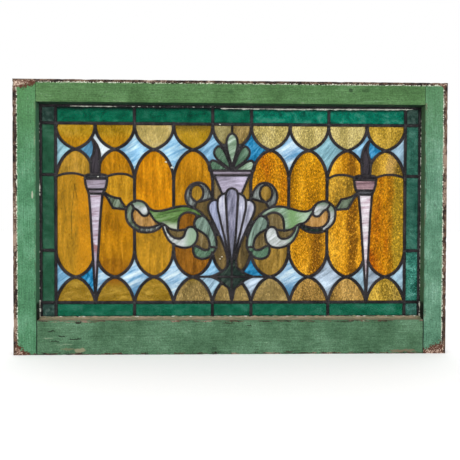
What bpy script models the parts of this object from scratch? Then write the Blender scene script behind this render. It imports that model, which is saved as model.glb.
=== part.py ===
# Leaded glass transom sash: a painted softwood frame, mortised and tenoned, with a leaded panel
# laid in its rebate from behind and held by four mitred wooden beads.
# The front faces -Y and the width runs along X. The origin is the middle of the sash's underside.
# Depths below are measured from the front face, and placed() centres them on the thickness.
import math

import bmesh
import bpy
from mathutils import Vector
from mathutils.geometry import delaunay_2d_cdt, intersect_line_line_2d, intersect_point_line

# Wooden sash, in metres.
SASH_WIDTH = 0.914
SASH_HEIGHT = 0.576
SASH_THICKNESS = 0.035
STILE_WIDTH = 0.0475
TOP_RAIL_WIDTH = 0.047
BOTTOM_RAIL_WIDTH = 0.0725
LIP_DEPTH = 0.022            # front face back to the shoulder that the panel lies against
REBATE_WIDTH = 0.009         # how far the rebate is cut back behind the lip
TENON_THICKNESS = 0.011
TENON_SETBACK = 0.0055       # front face back to the tenon's front cheek
TENON_SHOULDER = 0.008       # wood left above and below a tenon
BEAD_CHAMFER = 0.004
FIT = 0.0003                 # gap between two pieces that touch

# Leaded panel.
PANEL_SLACK = 0.0015         # panel edge to the side of the rebate
CAME_DEPTH = 0.0055
GLASS_THICKNESS = 0.003
FIELD_CAME = 0.00635
ORNAMENT_CAME = 0.0048
PERIMETER_CAME = 0.0127
SIDE_BORDER = 0.0338         # opening's edge to the middle of the field's outer came
TOP_BORDER = 0.0395
BOTTOM_BORDER = 0.034
SIDE_COLUMNS = 4             # columns on each side of the middle one

HAND_DRIFT = 0.0034          # how far the right-hand cames lean in at half height, as they were laid

# Fineness of the came curves and of the panes' outlines.
CURVE_STEPS = 24
CURVE_ERROR = 0.0002
OUTLINE_ERROR = 0.0008
SMALLEST_PANE = 0.00006      # an opening under this area, in square metres, is filled with solder

opening_half = SASH_WIDTH / 2 - STILE_WIDTH
opening_top = SASH_HEIGHT - TOP_RAIL_WIDTH
panel_lap = REBATE_WIDTH - PANEL_SLACK
field_half = opening_half - SIDE_BORDER
field_bottom = BOTTOM_RAIL_WIDTH + BOTTOM_BORDER
field_height = opening_top - TOP_BORDER - field_bottom
pitch = 2 * field_half / (2 * SIDE_COLUMNS + 1)
came_front = LIP_DEPTH + FIT
came_back = came_front + CAME_DEPTH

# The ornament is drawn in millimetres on columns 82.5 wide and a field 377 high, and is scaled
# from that drawing to the real pitch and height.
DRAWING = Vector((82.5, 377.0))


def spot(u, v):
    return Vector((u / DRAWING.x * pitch, field_bottom + v / DRAWING.y * field_height))


def cubic(a, b, c, d, start=0.0, end=1.0):
    points = []
    for i in range(CURVE_STEPS + 1):
        t = start + (end - start) * i / CURVE_STEPS
        s = 1 - t
        points.append(s * s * s * a + 3 * s * s * t * b + 3 * s * t * t * c + t * t * t * d)
    return points


def through(*marks):
    # A smooth curve through the marks, each a pair of drawing units.
    knots = [spot(*mark) for mark in marks]
    ends = [2 * knots[0] - knots[1]] + knots + [2 * knots[-1] - knots[-2]]
    points = [knots[0]]
    for before, a, d, after in zip(ends, ends[1:], ends[2:], ends[3:]):
        points += cubic(a, a + (d - before) / 6, d - (after - a) / 6, d)[1:]
    return points


def thinned(points, error):
    # Fewest points that keep the curve within the given error.
    if len(points) < 3:
        return points
    first, last = points[0], points[-1]
    if (last - first).length < error:
        gaps = [(p - first).length for p in points]
    else:
        gaps = []
        for p in points:
            foot, share = intersect_point_line(p, first, last)
            gaps.append((p - foot.to_2d()).length)
    worst = max(range(len(points)), key=gaps.__getitem__)
    if gaps[worst] < error:
        return [first, last]
    return thinned(points[:worst + 1], error)[:-1] + thinned(points[worst:], error)


def line(*marks):
    return [spot(*mark) for mark in marks]


def mirrored(path):
    return [Vector((-p.x, p.y)) for p in path]


def laid(point):
    # The cames of the right half lean towards the middle between the field's corners.
    if point.x <= 0 or point.x >= field_half:
        return point
    rise = min(max((point.y - field_bottom) / field_height, 0), 1)
    lean = math.sin(math.pi * rise) * math.sin(math.pi * point.x / field_half)
    return Vector((point.x - HAND_DRIFT * lean, point.y))


def scallops():
    # Each column ends in a pointed curve above and below, and the curves cross in pairs.
    high, low = 322.5, 54.0
    half = DRAWING.x / 2
    cames = []
    for column in range(-SIDE_COLUMNS, SIDE_COLUMNS + 1):
        for side in (-1, 1):
            middle = column * DRAWING.x

            def arm(start, end, *marks):
                return cubic(*[spot(middle + side * u, v) for u, v in marks], start, end)

            centre = column == 0
            torch_side = (column, side) in ((-4, 1), (-3, -1), (4, -1), (3, 1))
            cames.append(arm(0, 0.72 if centre else 1, (half, 372), (39.5, 345), (22, 330), (0, high)))
            cames.append(arm(0.42 if centre else 0, 1, (0, low), (17, 51), (36, 30), (half, 0)))
            first = 0.45 if centre else 0
            last = 0.76 if torch_side else 1
            cames.append(arm(first, last, (0, low), (14, 56), (38, 72), (half, 108)))
            if not centre:
                last = 0.66 if torch_side else 1
                cames.append(arm(0, last, (0, high), (17, 320.5), (38, 297), (half, 262)))
    return cames


def columns():
    # Straight cames between the columns, stopped by the ornament.
    half = DRAWING.x / 2
    cames = [line((half + DRAWING.x * i, 377), (half + DRAWING.x * i, 368)) for i in range(SIDE_COLUMNS)]
    cames.append(line((half, 264), (half, 219)))
    cames.append(line((half + DRAWING.x, 264), (half + DRAWING.x, 200.8)))
    cames.append(line((half + DRAWING.x, 122.5), (half + DRAWING.x, 106)))
    cames.append(line((half + 2 * DRAWING.x, 264), (half + 2 * DRAWING.x, 214)))
    cames.append(line((half + 2 * DRAWING.x, 154.5), (half + 2 * DRAWING.x, 106)))
    return cames


def border_cames():
    side = field_half / pitch * DRAWING.x
    edge = (opening_half + panel_lap - PERIMETER_CAME / 2) / pitch * DRAWING.x
    unit = DRAWING.y / field_height
    top = DRAWING.y + (TOP_BORDER + panel_lap - PERIMETER_CAME / 2) * unit
    bottom = -(BOTTOM_BORDER + panel_lap - PERIMETER_CAME / 2) * unit
    half = DRAWING.x / 2
    cames = [line((-edge, DRAWING.y), (edge, DRAWING.y)), line((-edge, 0), (edge, 0))]
    sides = [line((side, bottom), (side, top)), line((side, 269), (edge, 269)),
             line((side, 110), (edge, 110))]
    for across in (half, half + 2 * DRAWING.x):
        sides.append(line((across, DRAWING.y), (across, top)))
        sides.append(line((across, 0), (across, bottom)))
    return cames, sides


def torch():
    flame_right = through((297, 346.5), (289.5, 339), (283, 328), (279.5, 316), (278.5, 303), (279, 288),
                          (280, 270))
    flame_left = through((297, 346.5), (292.5, 335), (291, 324), (293, 313), (297, 303), (298.5, 292),
                         (297.5, 270))
    cames = [flame_right, flame_left]
    cames.append(through((309.5, 267), (310, 257), (308.5, 247), (305, 237), (302, 229.5)))
    cames.append(through((264.5, 267), (264, 257), (265.5, 247), (269, 237), (273.5, 229.5)))
    cames.append(through((309.5, 267), (303, 269.5), (287, 270), (271, 269.5), (264.5, 267)))
    cames.append(line((310, 261), (264, 261)))
    cames.append(line((306, 238.5), (268, 238.5)))
    cames.append(line((302, 229.5), (273.5, 229.5)))
    cames.append(line((302, 229.5), (299, 190), (289.5, 20), (288.75, 0)))
    cames.append(line((273.5, 229.5), (277.5, 190), (288, 20), (288.75, 0)))
    cames.append(through((371.25, 265.5), (350, 271.5), (329, 271.5), (309.5, 266)))
    cames.append(through((264.5, 266), (250, 270), (236, 271.5), (221, 269.5), (206.25, 262.5)))
    return cames


def arrow_leaf():
    upper = through((271, 234), (255, 226), (240, 220), (232.5, 213.5), (228.5, 205), (224.5, 199.5))
    lower = through((273, 231), (261, 218), (253, 203.5), (245, 198), (235, 196.3), (224.5, 196.5))
    return [upper, lower]


def c_scroll():
    # The outer came runs on from the tail of the acanthus leaf, over the comma and round the C.
    outer = through((60, 183.8), (67, 191), (77, 197.5), (88, 202), (99, 203.8), (110, 203.3), (124, 200.8),
                    (135, 197.5), (145, 194.8), (155, 193.4), (164, 193.8), (171.5, 196.5), (176.5, 200.5),
                    (181.5, 206.8), (188, 212.3), (197, 215), (206, 214.5), (214, 210), (220, 204.5),
                    (224, 197), (224.3, 186), (222.5, 174), (217, 165), (208, 156.5), (199, 151),
                    (190, 148.5), (180, 148), (170, 149.3), (161, 152.5), (153, 157.5), (147.5, 164))
    inner = through((206.5, 198.5), (210.5, 191), (211.3, 183), (209.3, 173.5), (204, 165.5), (197, 160.5),
                    (189, 158.6), (180, 158.3), (170, 159.3), (161, 162), (153, 165.5), (147.5, 167))
    comma = through((181.5, 206.8), (178, 199), (176.3, 191), (178.5, 185), (184, 182.8), (189.5, 184),
                    (194, 188.5), (200, 195), (206.5, 198.5))
    cames = [outer, inner, comma]
    cames.append(line((206.5, 198.5), (214, 210)))
    cames.append(line((194.5, 159.5), (197, 150)))
    return cames


def acanthus():
    # The long green leaf, from the scroll's heart to its tail under the ring.
    belly = through((176.3, 191), (172.5, 186.5), (168, 179.5), (162.5, 172.5), (156, 168.2), (147.5, 166.6),
                    (141, 163), (136, 159), (130.5, 155.8), (123, 153.6), (114.5, 152.7), (106, 153.3),
                    (97.5, 154.5))
    back = through((114.5, 151), (114, 161), (113.5, 170), (111, 179.5), (106, 186), (98.5, 190),
                   (90, 190.8), (81, 188.3), (73, 183.5), (68, 182.5))
    eye = through((74, 184), (78, 176), (80, 169), (79.5, 161.5), (77, 155.5))
    return [belly, back, eye]


def lower_comma():
    outer = through((147.5, 166), (145.5, 156), (141, 144), (133.5, 131.5), (122.5, 122), (110.5, 117.3),
                    (99, 116), (88, 118), (79.5, 124), (74.5, 133), (73, 143), (75.5, 152), (81, 158.5),
                    (87.5, 160.3), (93, 159), (97.5, 154.5), (99.5, 147.5), (102, 140.5), (107.5, 136),
                    (114, 135), (122, 136.8), (130, 142.5), (136.5, 152), (139.5, 162.5))
    return [outer]


def side_leaf():
    # The pale leaf beside the urn, and the hooked comma under it.
    outer = through((79, 172), (75, 178), (70, 181.8), (63, 183.8), (56, 180), (50, 172.5), (45.5, 165.5),
                    (40, 153.5), (35.5, 141), (32.7, 128), (33, 117), (36, 110), (40.5, 103.5), (46, 98),
                    (53.5, 93.7), (64, 92.3), (74, 95.2), (80, 101.5), (82.5, 111), (81.5, 121.5))
    inner = through((79.5, 165), (77, 157), (70, 152.3), (61, 147), (53.5, 140), (49, 131), (47, 122),
                    (47.5, 116.5), (51, 111.8), (57, 111), (64, 113.3), (70, 117), (75, 119), (81, 121.5))
    cames = [outer, inner]
    cames.append(line((47.2, 117.5), (33, 117)))
    cames.append(line((45, 98.8), (41.25, 104)))
    return cames


def ring():
    outer = through((86, 202), (94, 208), (98, 218), (98.5, 228), (94.5, 240), (86, 249.5), (74.5, 253.5),
                    (62.5, 252), (53, 245), (46.5, 234), (41.25, 221))
    turn = 16
    inner = []
    for i in range(turn + 2):
        angle = 2 * math.pi * i / turn
        drop = 2.0 if i == 3 * turn // 4 else 0.0
        inner.append((74.5 + 13.6 * math.cos(angle), 231.8 + 17.3 * math.sin(angle) - drop))
    tie = line((74.5, 213), (80.5, 200.5))
    foot = through((74.5, 213), (66, 214), (55, 217), (41.25, 220.5))
    return [outer, through(*inner), tie, foot]


def palmette():
    leaf = through((0, 358), (7, 353.5), (11.3, 344), (11.8, 334), (9.8, 321), (6, 307), (2.7, 297), (0, 288))
    second = through((4, 283.5), (12.5, 288.5), (24, 297), (32.5, 304.5), (37.5, 313), (37.5, 321),
                     (33, 328), (28, 330.5), (22.5, 328), (16.5, 319.5), (11, 308), (7, 297.5), (3.5, 287))
    low = through((7, 281), (18, 288.5), (30, 296.5), (39.5, 300.5), (45, 298.5), (49, 290.5), (48.5, 281),
                  (47, 279))
    return [leaf, second, low, line((0, 377), (0, 356))]


def urn():
    cames = [line((44, 279.2), (0, 279.2)), line((41.25, 269.3), (0, 269.3))]
    cames.append(line((38, 269.3), (21, 230)))
    cames.append(line((46, 281), (42.5, 262)))
    return cames


def fan():
    middle = through((0, 242.3), (7.5, 239.5), (12, 233), (13.3, 222), (12.6, 205), (11.6, 188), (10.3, 170),
                     (9, 150), (7.2, 130), (5, 110), (2.5, 94), (0, 84))
    second = through((12.6, 231.5), (20, 229.5), (26.5, 224.5), (30.3, 216), (30.3, 200), (27, 184),
                     (23.3, 168), (19, 151), (14.5, 132.5), (9.5, 113), (4.5, 93))
    outer = through((30.3, 216), (37.5, 217.3), (45, 213.7), (49.8, 205.5), (50, 196), (47, 186.5),
                    (41.5, 175), (35.5, 163), (29.5, 150), (23.5, 136.5), (18, 122.5), (13, 108), (9.5, 93),
                    (9, 78))
    return [middle, second, outer]


def star():
    upper = through((46, 54.5), (36, 58), (26, 63), (17.5, 68.5), (11, 75), (9, 84))
    lower = through((46, 54.5), (36, 51), (26.5, 46), (20, 39.8), (12.5, 34.8), (7, 29.5), (4, 19), (0, 0))
    cames = [upper, lower, line((82.5, 54), (46, 54.5)), line((46, 54.5), (0, 54))]
    return cames


def solder_webs():
    # Solder that fills the crotches between the palmette's leaves, and the crack between the fan
    # and the leaf beside it.
    webs = [line((11, 337), (13, 318), (20, 322), (28, 333), (20, 335)),
            line((9, 312), (7, 297), (13, 307)),
            line((14, 289), (32, 299), (22, 298)),
            line((50, 173.5), (45, 165.5), (39.5, 153.5), (35, 140), (25.5, 141), (30, 150.5), (36, 163),
                 (42, 175))]
    return webs


def paths():
    # Every came as a centre line with its width.
    across, sides = border_cames()
    drawn = [(path, FIELD_CAME) for path in scallops() + across]
    drawn.append((line((0, 90), (0, 14)), ORNAMENT_CAME))
    for path in columns() + sides:
        drawn += [(path, FIELD_CAME), (mirrored(path), FIELD_CAME)]
    ornament = (torch() + arrow_leaf() + c_scroll() + acanthus() + lower_comma() + side_leaf() + ring()
                + palmette() + urn() + fan() + star())
    for path in ornament:
        drawn += [(path, ORNAMENT_CAME), (mirrored(path), ORNAMENT_CAME)]
    return [(thinned([laid(p) for p in path], CURVE_ERROR), width) for path, width in drawn]


def strip(path, half):
    # A came as four-cornered lengths, mitred at each bend.
    left, right = [], []
    for i, point in enumerate(path):
        back = (point - path[max(i - 1, 0)]).normalized()
        ahead = (path[min(i + 1, len(path) - 1)] - point).normalized()
        way = (back + ahead).normalized()
        reach = half / max(abs(way.dot(ahead if ahead.length else back)), 0.5)
        across = Vector((-way.y, way.x)) * reach
        left.append(point + across)
        right.append(point - across)
    return [[right[i], right[i + 1], left[i + 1], left[i]] for i in range(len(path) - 1)]


def panel_edge():
    half = opening_half + panel_lap
    low, high = BOTTOM_RAIL_WIDTH - panel_lap, opening_top + panel_lap
    return [Vector((-half, low)), Vector((half, low)), Vector((half, high)), Vector((-half, high))]


def openings():
    # Outlines of the glass seen between the cames.
    scale = 1000
    faces = []
    for path, width in paths():
        faces += strip(path, width / 2)
    for web in solder_webs():
        faces += [web, mirrored(web)]
    edge = panel_edge()
    inner = inset(edge, PERIMETER_CAME)
    for i in range(4):
        faces.append([edge[i], edge[(i + 1) % 4], inner[(i + 1) % 4], inner[i]])
    corners, cells = [], []
    for face in faces:
        ordered = face if area_of(face) > 0 else face[::-1]
        cells.append(list(range(len(corners), len(corners) + len(face))))
        corners += [p * scale for p in ordered]
    points, _, triangles, _, _, source = delaunay_2d_cdt(corners, [], cells, 0, 1e-4, True)
    points = [p / scale for p in points]

    def is_bare(triangle, near):
        # Only the lengths of came that are named for a triangle can cover it.
        middle = sum((points[i] for i in triangle), Vector((0, 0))) / len(triangle)
        return not any(covers(faces[n], middle) for n in near)

    bare = [triangle for triangle, near in zip(triangles, source) if is_bare(triangle, near)]
    outlines = [simplified(outline_of(points, group)) for group in grouped(bare)]
    return [outline for outline in outlines if area_of(outline) > SMALLEST_PANE]


def inset(outline, distance):
    # The same outline with every side moved inwards.
    moved = []
    for before, here, after in zip(outline[-1:] + outline, outline, outline[1:] + outline[:1]):
        back = (here - before).normalized()
        ahead = (after - here).normalized()
        way = (back + ahead).normalized()
        reach = distance / max(way.dot(ahead), 0.05)
        moved.append(here + Vector((-way.y, way.x)) * reach)
    return moved


def edges_of(corners):
    return {frozenset(pair) for pair in zip(corners, corners[1:] + corners[:1])}


def grouped(triangles, barriers=frozenset()):
    # Triangles that share an edge are one group, unless the edge is a barrier.
    owners = {}
    for i, triangle in enumerate(triangles):
        for edge in edges_of(triangle):
            owners.setdefault(edge, []).append(i)
    groups, seen = [], set()
    for start in range(len(triangles)):
        if start in seen:
            continue
        seen.add(start)
        group = [start]
        for current in group:
            for edge in edges_of(triangles[current]) - barriers:
                fresh = [i for i in owners[edge] if i not in seen]
                seen.update(fresh)
                group += fresh
        groups.append([triangles[i] for i in group])
    return groups


def outline_of(points, group):
    # The outline of a group of triangles runs along the edges that only one of them has.
    directed = {(a, b) for triangle in group for a, b in zip(triangle, triangle[1:] + triangle[:1])}
    follow = {a: b for a, b in directed if (b, a) not in directed}
    loop = [min(follow)]
    while follow[loop[-1]] != loop[0]:
        loop.append(follow[loop[-1]])
    return [points[i] for i in loop]


def simplified(outline):
    # A closed outline with the fewest points, kept at its two farthest ends. A thin tip keeps
    # more of its points, so that its two sides never cross.
    first = min(range(len(outline)), key=lambda i: outline[i].x + outline[i].y)
    turned = outline[first:] + outline[:first]
    far = max(range(len(turned)), key=lambda i: (turned[i] - turned[0]).length)
    error = OUTLINE_ERROR
    while True:
        there = thinned(turned[:far + 1], error)
        back = thinned(turned[far:] + turned[:1], error)
        result = there[:-1] + back[:-1]
        if not crosses_itself(result):
            return result
        error /= 2


def crosses_itself(outline):
    sides = list(zip(outline, outline[1:] + outline[:1]))
    for i, (a, b) in enumerate(sides):
        for j in range(i + 2, len(sides)):
            if (j + 1) % len(sides) != i and intersect_line_line_2d(a, b, *sides[j]):
                return True
    return len(outline) < 3


def area_of(outline):
    return sum(a.x * b.y - b.x * a.y for a, b in zip(outline, outline[1:] + outline[:1])) / 2


# Panes that are solids of their own, named by a spot of the drawing that each one covers.
HALF_PANES = {
    "scallop_high_outer": (330, 355), "scallop_high_torch": (247.5, 355), "scallop_high_scroll": (165, 355),
    "scallop_high_urn": (82.5, 355),
    "scallop_low_outer": (330, 20), "scallop_low_torch": (247.5, 20), "scallop_low_scroll": (165, 20),
    "scallop_low_urn": (82.5, 20),
    "arch_outer": (330, 290), "arch_torch": (247.5, 295), "arch_scroll": (165, 270), "arch_urn": (90, 290),
    "long_pane_outer": (340, 180), "pane_over_arrow": (235, 250), "long_pane_torch": (255, 150),
    "low_pane_scroll": (165, 110), "low_pane_urn": (100, 100),
    "border_side_high": (388, 320), "border_side_middle": (388, 190), "border_side_low": (388, 55),
    "border_top_outer": (290, 393), "border_top_inner": (120, 393),
    "border_bottom_outer": (290, -13), "border_bottom_inner": (120, -13),
}
MIDDLE_PANES = {"border_top_middle": (0, 393), "border_bottom_middle": (0, -13), "urn_bowl": (0, 255)}


def pane_seeds():
    seeds = {name: spot(*mark) for name, mark in MIDDLE_PANES.items()}
    for name, mark in HALF_PANES.items():
        seeds[name + "_left"] = spot(-mark[0], mark[1])
        seeds[name + "_right"] = spot(*mark)
    return seeds


def covers(outline, seed):
    inside = False
    for a, b in zip(outline, outline[1:] + outline[:1]):
        if (a.y > seed.y) != (b.y > seed.y):
            if seed.x < a.x + (seed.y - a.y) / (b.y - a.y) * (b.x - a.x):
                inside = not inside
    return inside


def finish(name, color, roughness, metallic=0.0, clear=0.0):
    material = bpy.data.materials.new(name)
    material.use_nodes = True
    shader = material.node_tree.nodes["Principled BSDF"]
    shader.inputs["Base Color"].default_value = (*color, 1.0)
    shader.inputs["Roughness"].default_value = roughness
    shader.inputs["Metallic"].default_value = metallic
    shader.inputs["Transmission Weight"].default_value = clear
    return material


def placed(name, form, material):
    # The form is a bmesh; its outward faces are set before it becomes an object.
    bmesh.ops.recalc_face_normals(form, faces=form.faces)
    mesh = bpy.data.meshes.new(name)
    form.to_mesh(mesh)
    form.free()
    mesh.materials.append(material)
    piece = bpy.data.objects.new(name, mesh)
    piece.location.y = -SASH_THICKNESS / 2
    bpy.context.scene.collection.objects.link(piece)


def pane(name, outline, material):
    # A flat pane, cut to its outline, in the middle of the came's depth.
    form = bmesh.new()
    front = came_front + (CAME_DEPTH - GLASS_THICKNESS) / 2
    face = form.faces.new([form.verts.new((p.x, front, p.y)) for p in outline])
    pushed = bmesh.ops.extrude_face_region(form, geom=[face])
    moved = [v for v in pushed["geom"] if isinstance(v, bmesh.types.BMVert)]
    bmesh.ops.translate(form, verts=moved, vec=(0, GLASS_THICKNESS, 0))
    bmesh.ops.triangulate(form, faces=form.faces, ngon_method="EAR_CLIP")
    placed(name, form, material)


def came_net(outlines, filled, material):
    # The soldered net of cames. The small panes are one with it: sunk below its front like the
    # others, and level with its back.
    form = bmesh.new()
    corners = {}

    def corner(point, level):
        key = (round(point.x, 7), round(point.y, 7), level)
        if key not in corners:
            corners[key] = form.verts.new((point.x, level, point.y))
        return corners[key]

    def sheet(holes, level):
        # A flat face of the whole panel, less the holes.
        flat, borders = [], []
        for loop in [edge] + holes:
            first = len(flat)
            flat += loop
            borders += [(first + i, first + (i + 1) % len(loop)) for i in range(len(loop))]
        _, lines, triangles, origin, source, _ = delaunay_2d_cdt(
            [p * 1000 for p in flat], borders, [], 0, 1e-6, True)
        barriers = {frozenset(line) for line, drawn in zip(lines, source) if drawn}
        sheets = grouped(triangles, barriers)
        cames = next(group for group in sheets if any(0 in origin[i] for t in group for i in t))
        for triangle in cames:
            form.faces.new([corner(flat[origin[i][0]], level) for i in triangle])

    def wall(loop, front, back):
        for a, b in zip(loop, loop[1:] + loop[:1]):
            form.faces.new([corner(a, front), corner(b, front), corner(b, back), corner(a, back)])

    edge = panel_edge()
    open_holes = [outline for n, outline in enumerate(outlines) if n not in filled]
    glass_front = came_front + (CAME_DEPTH - GLASS_THICKNESS) / 2
    sheet(outlines, came_front)
    sheet(open_holes, came_back)
    wall(edge, came_front, came_back)
    for outline in open_holes:
        wall(outline, came_front, came_back)
    for n in filled:
        wall(outlines[n], came_front, glass_front)
        form.faces.new([corner(point, glass_front) for point in outlines[n]])
    bmesh.ops.triangulate(form, faces=form.faces, ngon_method="EAR_CLIP")
    placed("lead_came_net", form, material)


def joinery(name, xs, ys, zs, wood, material):
    # A piece of joinery as the blocks between its saw cuts; wood() says which blocks are left.
    form = bmesh.new()
    corners = {}

    def corner(i, j, k):
        if (i, j, k) not in corners:
            corners[i, j, k] = form.verts.new((xs[i], ys[j], zs[k]))
        return corners[i, j, k]

    counts = (len(xs) - 1, len(ys) - 1, len(zs) - 1)

    def left_in(cell):
        if any(c < 0 or c >= n for c, n in zip(cell, counts)):
            return False
        return wood(*[(cuts[c] + cuts[c + 1]) / 2 for cuts, c in zip((xs, ys, zs), cell)])

    for i in range(counts[0]):
        for j in range(counts[1]):
            for k in range(counts[2]):
                if not left_in((i, j, k)):
                    continue
                for axis, step in ((0, 0), (0, 1), (1, 0), (1, 1), (2, 0), (2, 1)):
                    beyond = [i, j, k]
                    beyond[axis] += 1 if step else -1
                    if left_in(tuple(beyond)):
                        continue
                    square = []
                    for a, b in ((0, 0), (1, 0), (1, 1), (0, 1)):
                        offset = [a, b]
                        offset.insert(axis, step)
                        square.append(corner(i + offset[0], j + offset[1], k + offset[2]))
                    form.faces.new(square)
    bmesh.ops.dissolve_limit(form, angle_limit=0.01, verts=form.verts, edges=form.edges)
    bmesh.ops.triangulate(form, faces=form.faces)
    placed(name, form, material)


def stile(side, material):
    inner = opening_half
    outer = SASH_WIDTH / 2
    rebate = inner + REBATE_WIDTH
    tenon_front, tenon_back = TENON_SETBACK, TENON_SETBACK + TENON_THICKNESS
    low = (TENON_SHOULDER, BOTTOM_RAIL_WIDTH - REBATE_WIDTH - TENON_SHOULDER)
    high = (opening_top + REBATE_WIDTH + TENON_SHOULDER, SASH_HEIGHT - TENON_SHOULDER)

    def wood(x, y, z):
        in_rebate = abs(x) < rebate and y > LIP_DEPTH
        in_mortise = tenon_front < y < tenon_back and (low[0] < z < low[1] or high[0] < z < high[1])
        return not in_rebate and not in_mortise

    xs = sorted(side * x for x in (inner, rebate, outer))
    ys = (0, tenon_front, tenon_back, LIP_DEPTH, SASH_THICKNESS)
    zs = (0, *low, *high, SASH_HEIGHT)
    joinery("stile_left" if side < 0 else "stile_right", xs, ys, zs, wood, material)


def rail(name, bottom, top, opening_edge, material):
    # A rail has a tenon at each end, and its back shoulders reach into the stiles' rebates.
    shoulder = opening_half - FIT
    back_shoulder = opening_half + REBATE_WIDTH - FIT
    tip = SASH_WIDTH / 2 - FIT
    cheeks = (TENON_SETBACK + FIT, TENON_SETBACK + TENON_THICKNESS - FIT)
    if opening_edge == top:
        rebate = top - REBATE_WIDTH
        tenon = (bottom + TENON_SHOULDER + FIT, rebate - TENON_SHOULDER - FIT)
        zs = (bottom, *tenon, rebate, top)
    else:
        rebate = bottom + REBATE_WIDTH
        tenon = (rebate + TENON_SHOULDER + FIT, top - TENON_SHOULDER - FIT)
        zs = (bottom, rebate, *tenon, top)

    def wood(x, y, z):
        in_rebate = y > LIP_DEPTH and min(rebate, opening_edge) < z < max(rebate, opening_edge)
        if abs(x) < shoulder:
            return not in_rebate
        in_tenon = cheeks[0] < y < cheeks[1] and tenon[0] < z < tenon[1]
        in_back = abs(x) < back_shoulder and y > LIP_DEPTH + FIT
        return in_tenon or (in_back and not in_rebate)

    xs = (-tip, -back_shoulder, -shoulder, shoulder, back_shoulder, tip)
    ys = (0, *cheeks, LIP_DEPTH, LIP_DEPTH + FIT, SASH_THICKNESS)
    joinery(name, xs, ys, zs, wood, material)


def bead(name, edge_start, edge_end, inward, material):
    # A mitred glazing bead along one side of the rebate, chamfered towards the glass.
    front, back = came_back + FIT, SASH_THICKNESS
    along = (edge_end - edge_start).normalized()
    form = bmesh.new()
    rings = []
    for place, turn in ((edge_start, 1), (edge_end, -1)):
        ring = []
        for depth, away in ((front, 0), (back, 0), (back, 1 - BEAD_CHAMFER / REBATE_WIDTH),
                            (back - BEAD_CHAMFER, 1), (front, 1)):
            reach = FIT + away * (REBATE_WIDTH - FIT)
            at = place + inward * reach + along * turn * (reach + FIT)
            ring.append(form.verts.new((at.x, depth, at.y)))
        rings.append(ring)
    form.faces.new(rings[0])
    form.faces.new(rings[1][::-1])
    for i in range(len(rings[0])):
        j = (i + 1) % len(rings[0])
        form.faces.new([rings[0][i], rings[0][j], rings[1][j], rings[1][i]])
    bmesh.ops.triangulate(form, faces=form.faces)
    placed(name, form, material)


def build():
    for old in list(bpy.data.objects):
        bpy.data.objects.remove(old, do_unlink=True)
    paint = finish("Painted softwood", (0.09, 0.27, 0.13), 0.55)
    lead = finish("Oxidised lead", (0.045, 0.045, 0.047), 0.5, metallic=0.8)
    tints = {"border": (0.0, 0.13, 0.06), "urn": (0.55, 0.5, 0.62), "scallop": (0.55, 0.4, 0.08)}
    glasses = {kind: finish(kind + " glass", tint, 0.15, clear=0.7) for kind, tint in tints.items()}
    amber = finish("amber glass", (0.7, 0.3, 0.01), 0.15, clear=0.7)

    stile(-1, paint)
    stile(1, paint)
    rail("rail_top", opening_top, SASH_HEIGHT, opening_top, paint)
    rail("rail_bottom", 0, BOTTOM_RAIL_WIDTH, BOTTOM_RAIL_WIDTH, paint)

    side = opening_half + REBATE_WIDTH
    low, high = BOTTOM_RAIL_WIDTH - REBATE_WIDTH, opening_top + REBATE_WIDTH
    corners = [Vector((-side, low)), Vector((side, low)), Vector((side, high)), Vector((-side, high))]
    ways = (Vector((0, 1)), Vector((-1, 0)), Vector((0, -1)), Vector((1, 0)))
    names = ("bead_bottom", "bead_right", "bead_top", "bead_left")
    for i, (name, way) in enumerate(zip(names, ways)):
        bead(name, corners[i], corners[(i + 1) % 4], way, paint)

    seeds = pane_seeds()
    seen = openings()
    filled = [n for n, outline in enumerate(seen) if not any(covers(outline, s) for s in seeds.values())]
    came_net(seen, filled, lead)
    for name, seed in seeds.items():
        outline = next(o for o in seen if covers(o, seed))
        pane(name, inset(outline, FIT), glasses.get(name.split("_")[0], amber))


build()
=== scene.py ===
# Leaded glass transom sash: worn green paint over old softwood, oxidised lead and streaky glass.
# The front faces -Y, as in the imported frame, and every size is in metres.
import math
import random

import bmesh
import bpy
import numpy as np
from mathutils import Matrix, Vector, noise
from mathutils.geometry import delaunay_2d_cdt, intersect_line_line_2d, intersect_point_line


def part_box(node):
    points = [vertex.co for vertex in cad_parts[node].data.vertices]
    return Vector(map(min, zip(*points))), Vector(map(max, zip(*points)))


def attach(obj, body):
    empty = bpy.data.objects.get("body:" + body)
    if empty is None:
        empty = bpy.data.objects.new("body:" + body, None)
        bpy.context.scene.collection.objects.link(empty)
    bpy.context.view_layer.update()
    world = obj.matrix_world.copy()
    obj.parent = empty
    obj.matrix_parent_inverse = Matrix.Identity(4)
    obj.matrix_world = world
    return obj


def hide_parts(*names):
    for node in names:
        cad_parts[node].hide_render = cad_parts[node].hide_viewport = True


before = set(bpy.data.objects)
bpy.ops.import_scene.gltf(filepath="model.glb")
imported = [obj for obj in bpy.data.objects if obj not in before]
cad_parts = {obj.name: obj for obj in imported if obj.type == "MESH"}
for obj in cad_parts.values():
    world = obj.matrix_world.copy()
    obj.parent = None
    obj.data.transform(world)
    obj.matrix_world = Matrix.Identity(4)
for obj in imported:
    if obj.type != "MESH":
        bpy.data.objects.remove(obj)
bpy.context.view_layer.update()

# The sash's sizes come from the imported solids.
stileNear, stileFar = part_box("stile_right")
headNear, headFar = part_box("rail_top")
netNear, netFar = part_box("lead_came_net")
halfWidth, openingHalf = stileFar.x, stileNear.x
frontY, backY = stileNear.y, stileFar.y
openingLow, openingTop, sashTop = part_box("rail_bottom")[1].z, headNear.z, headFar.z
cameFront, cameBack = netNear.y, netFar.y
panelLap = netFar.x - openingHalf
print("frame loaded")


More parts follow.
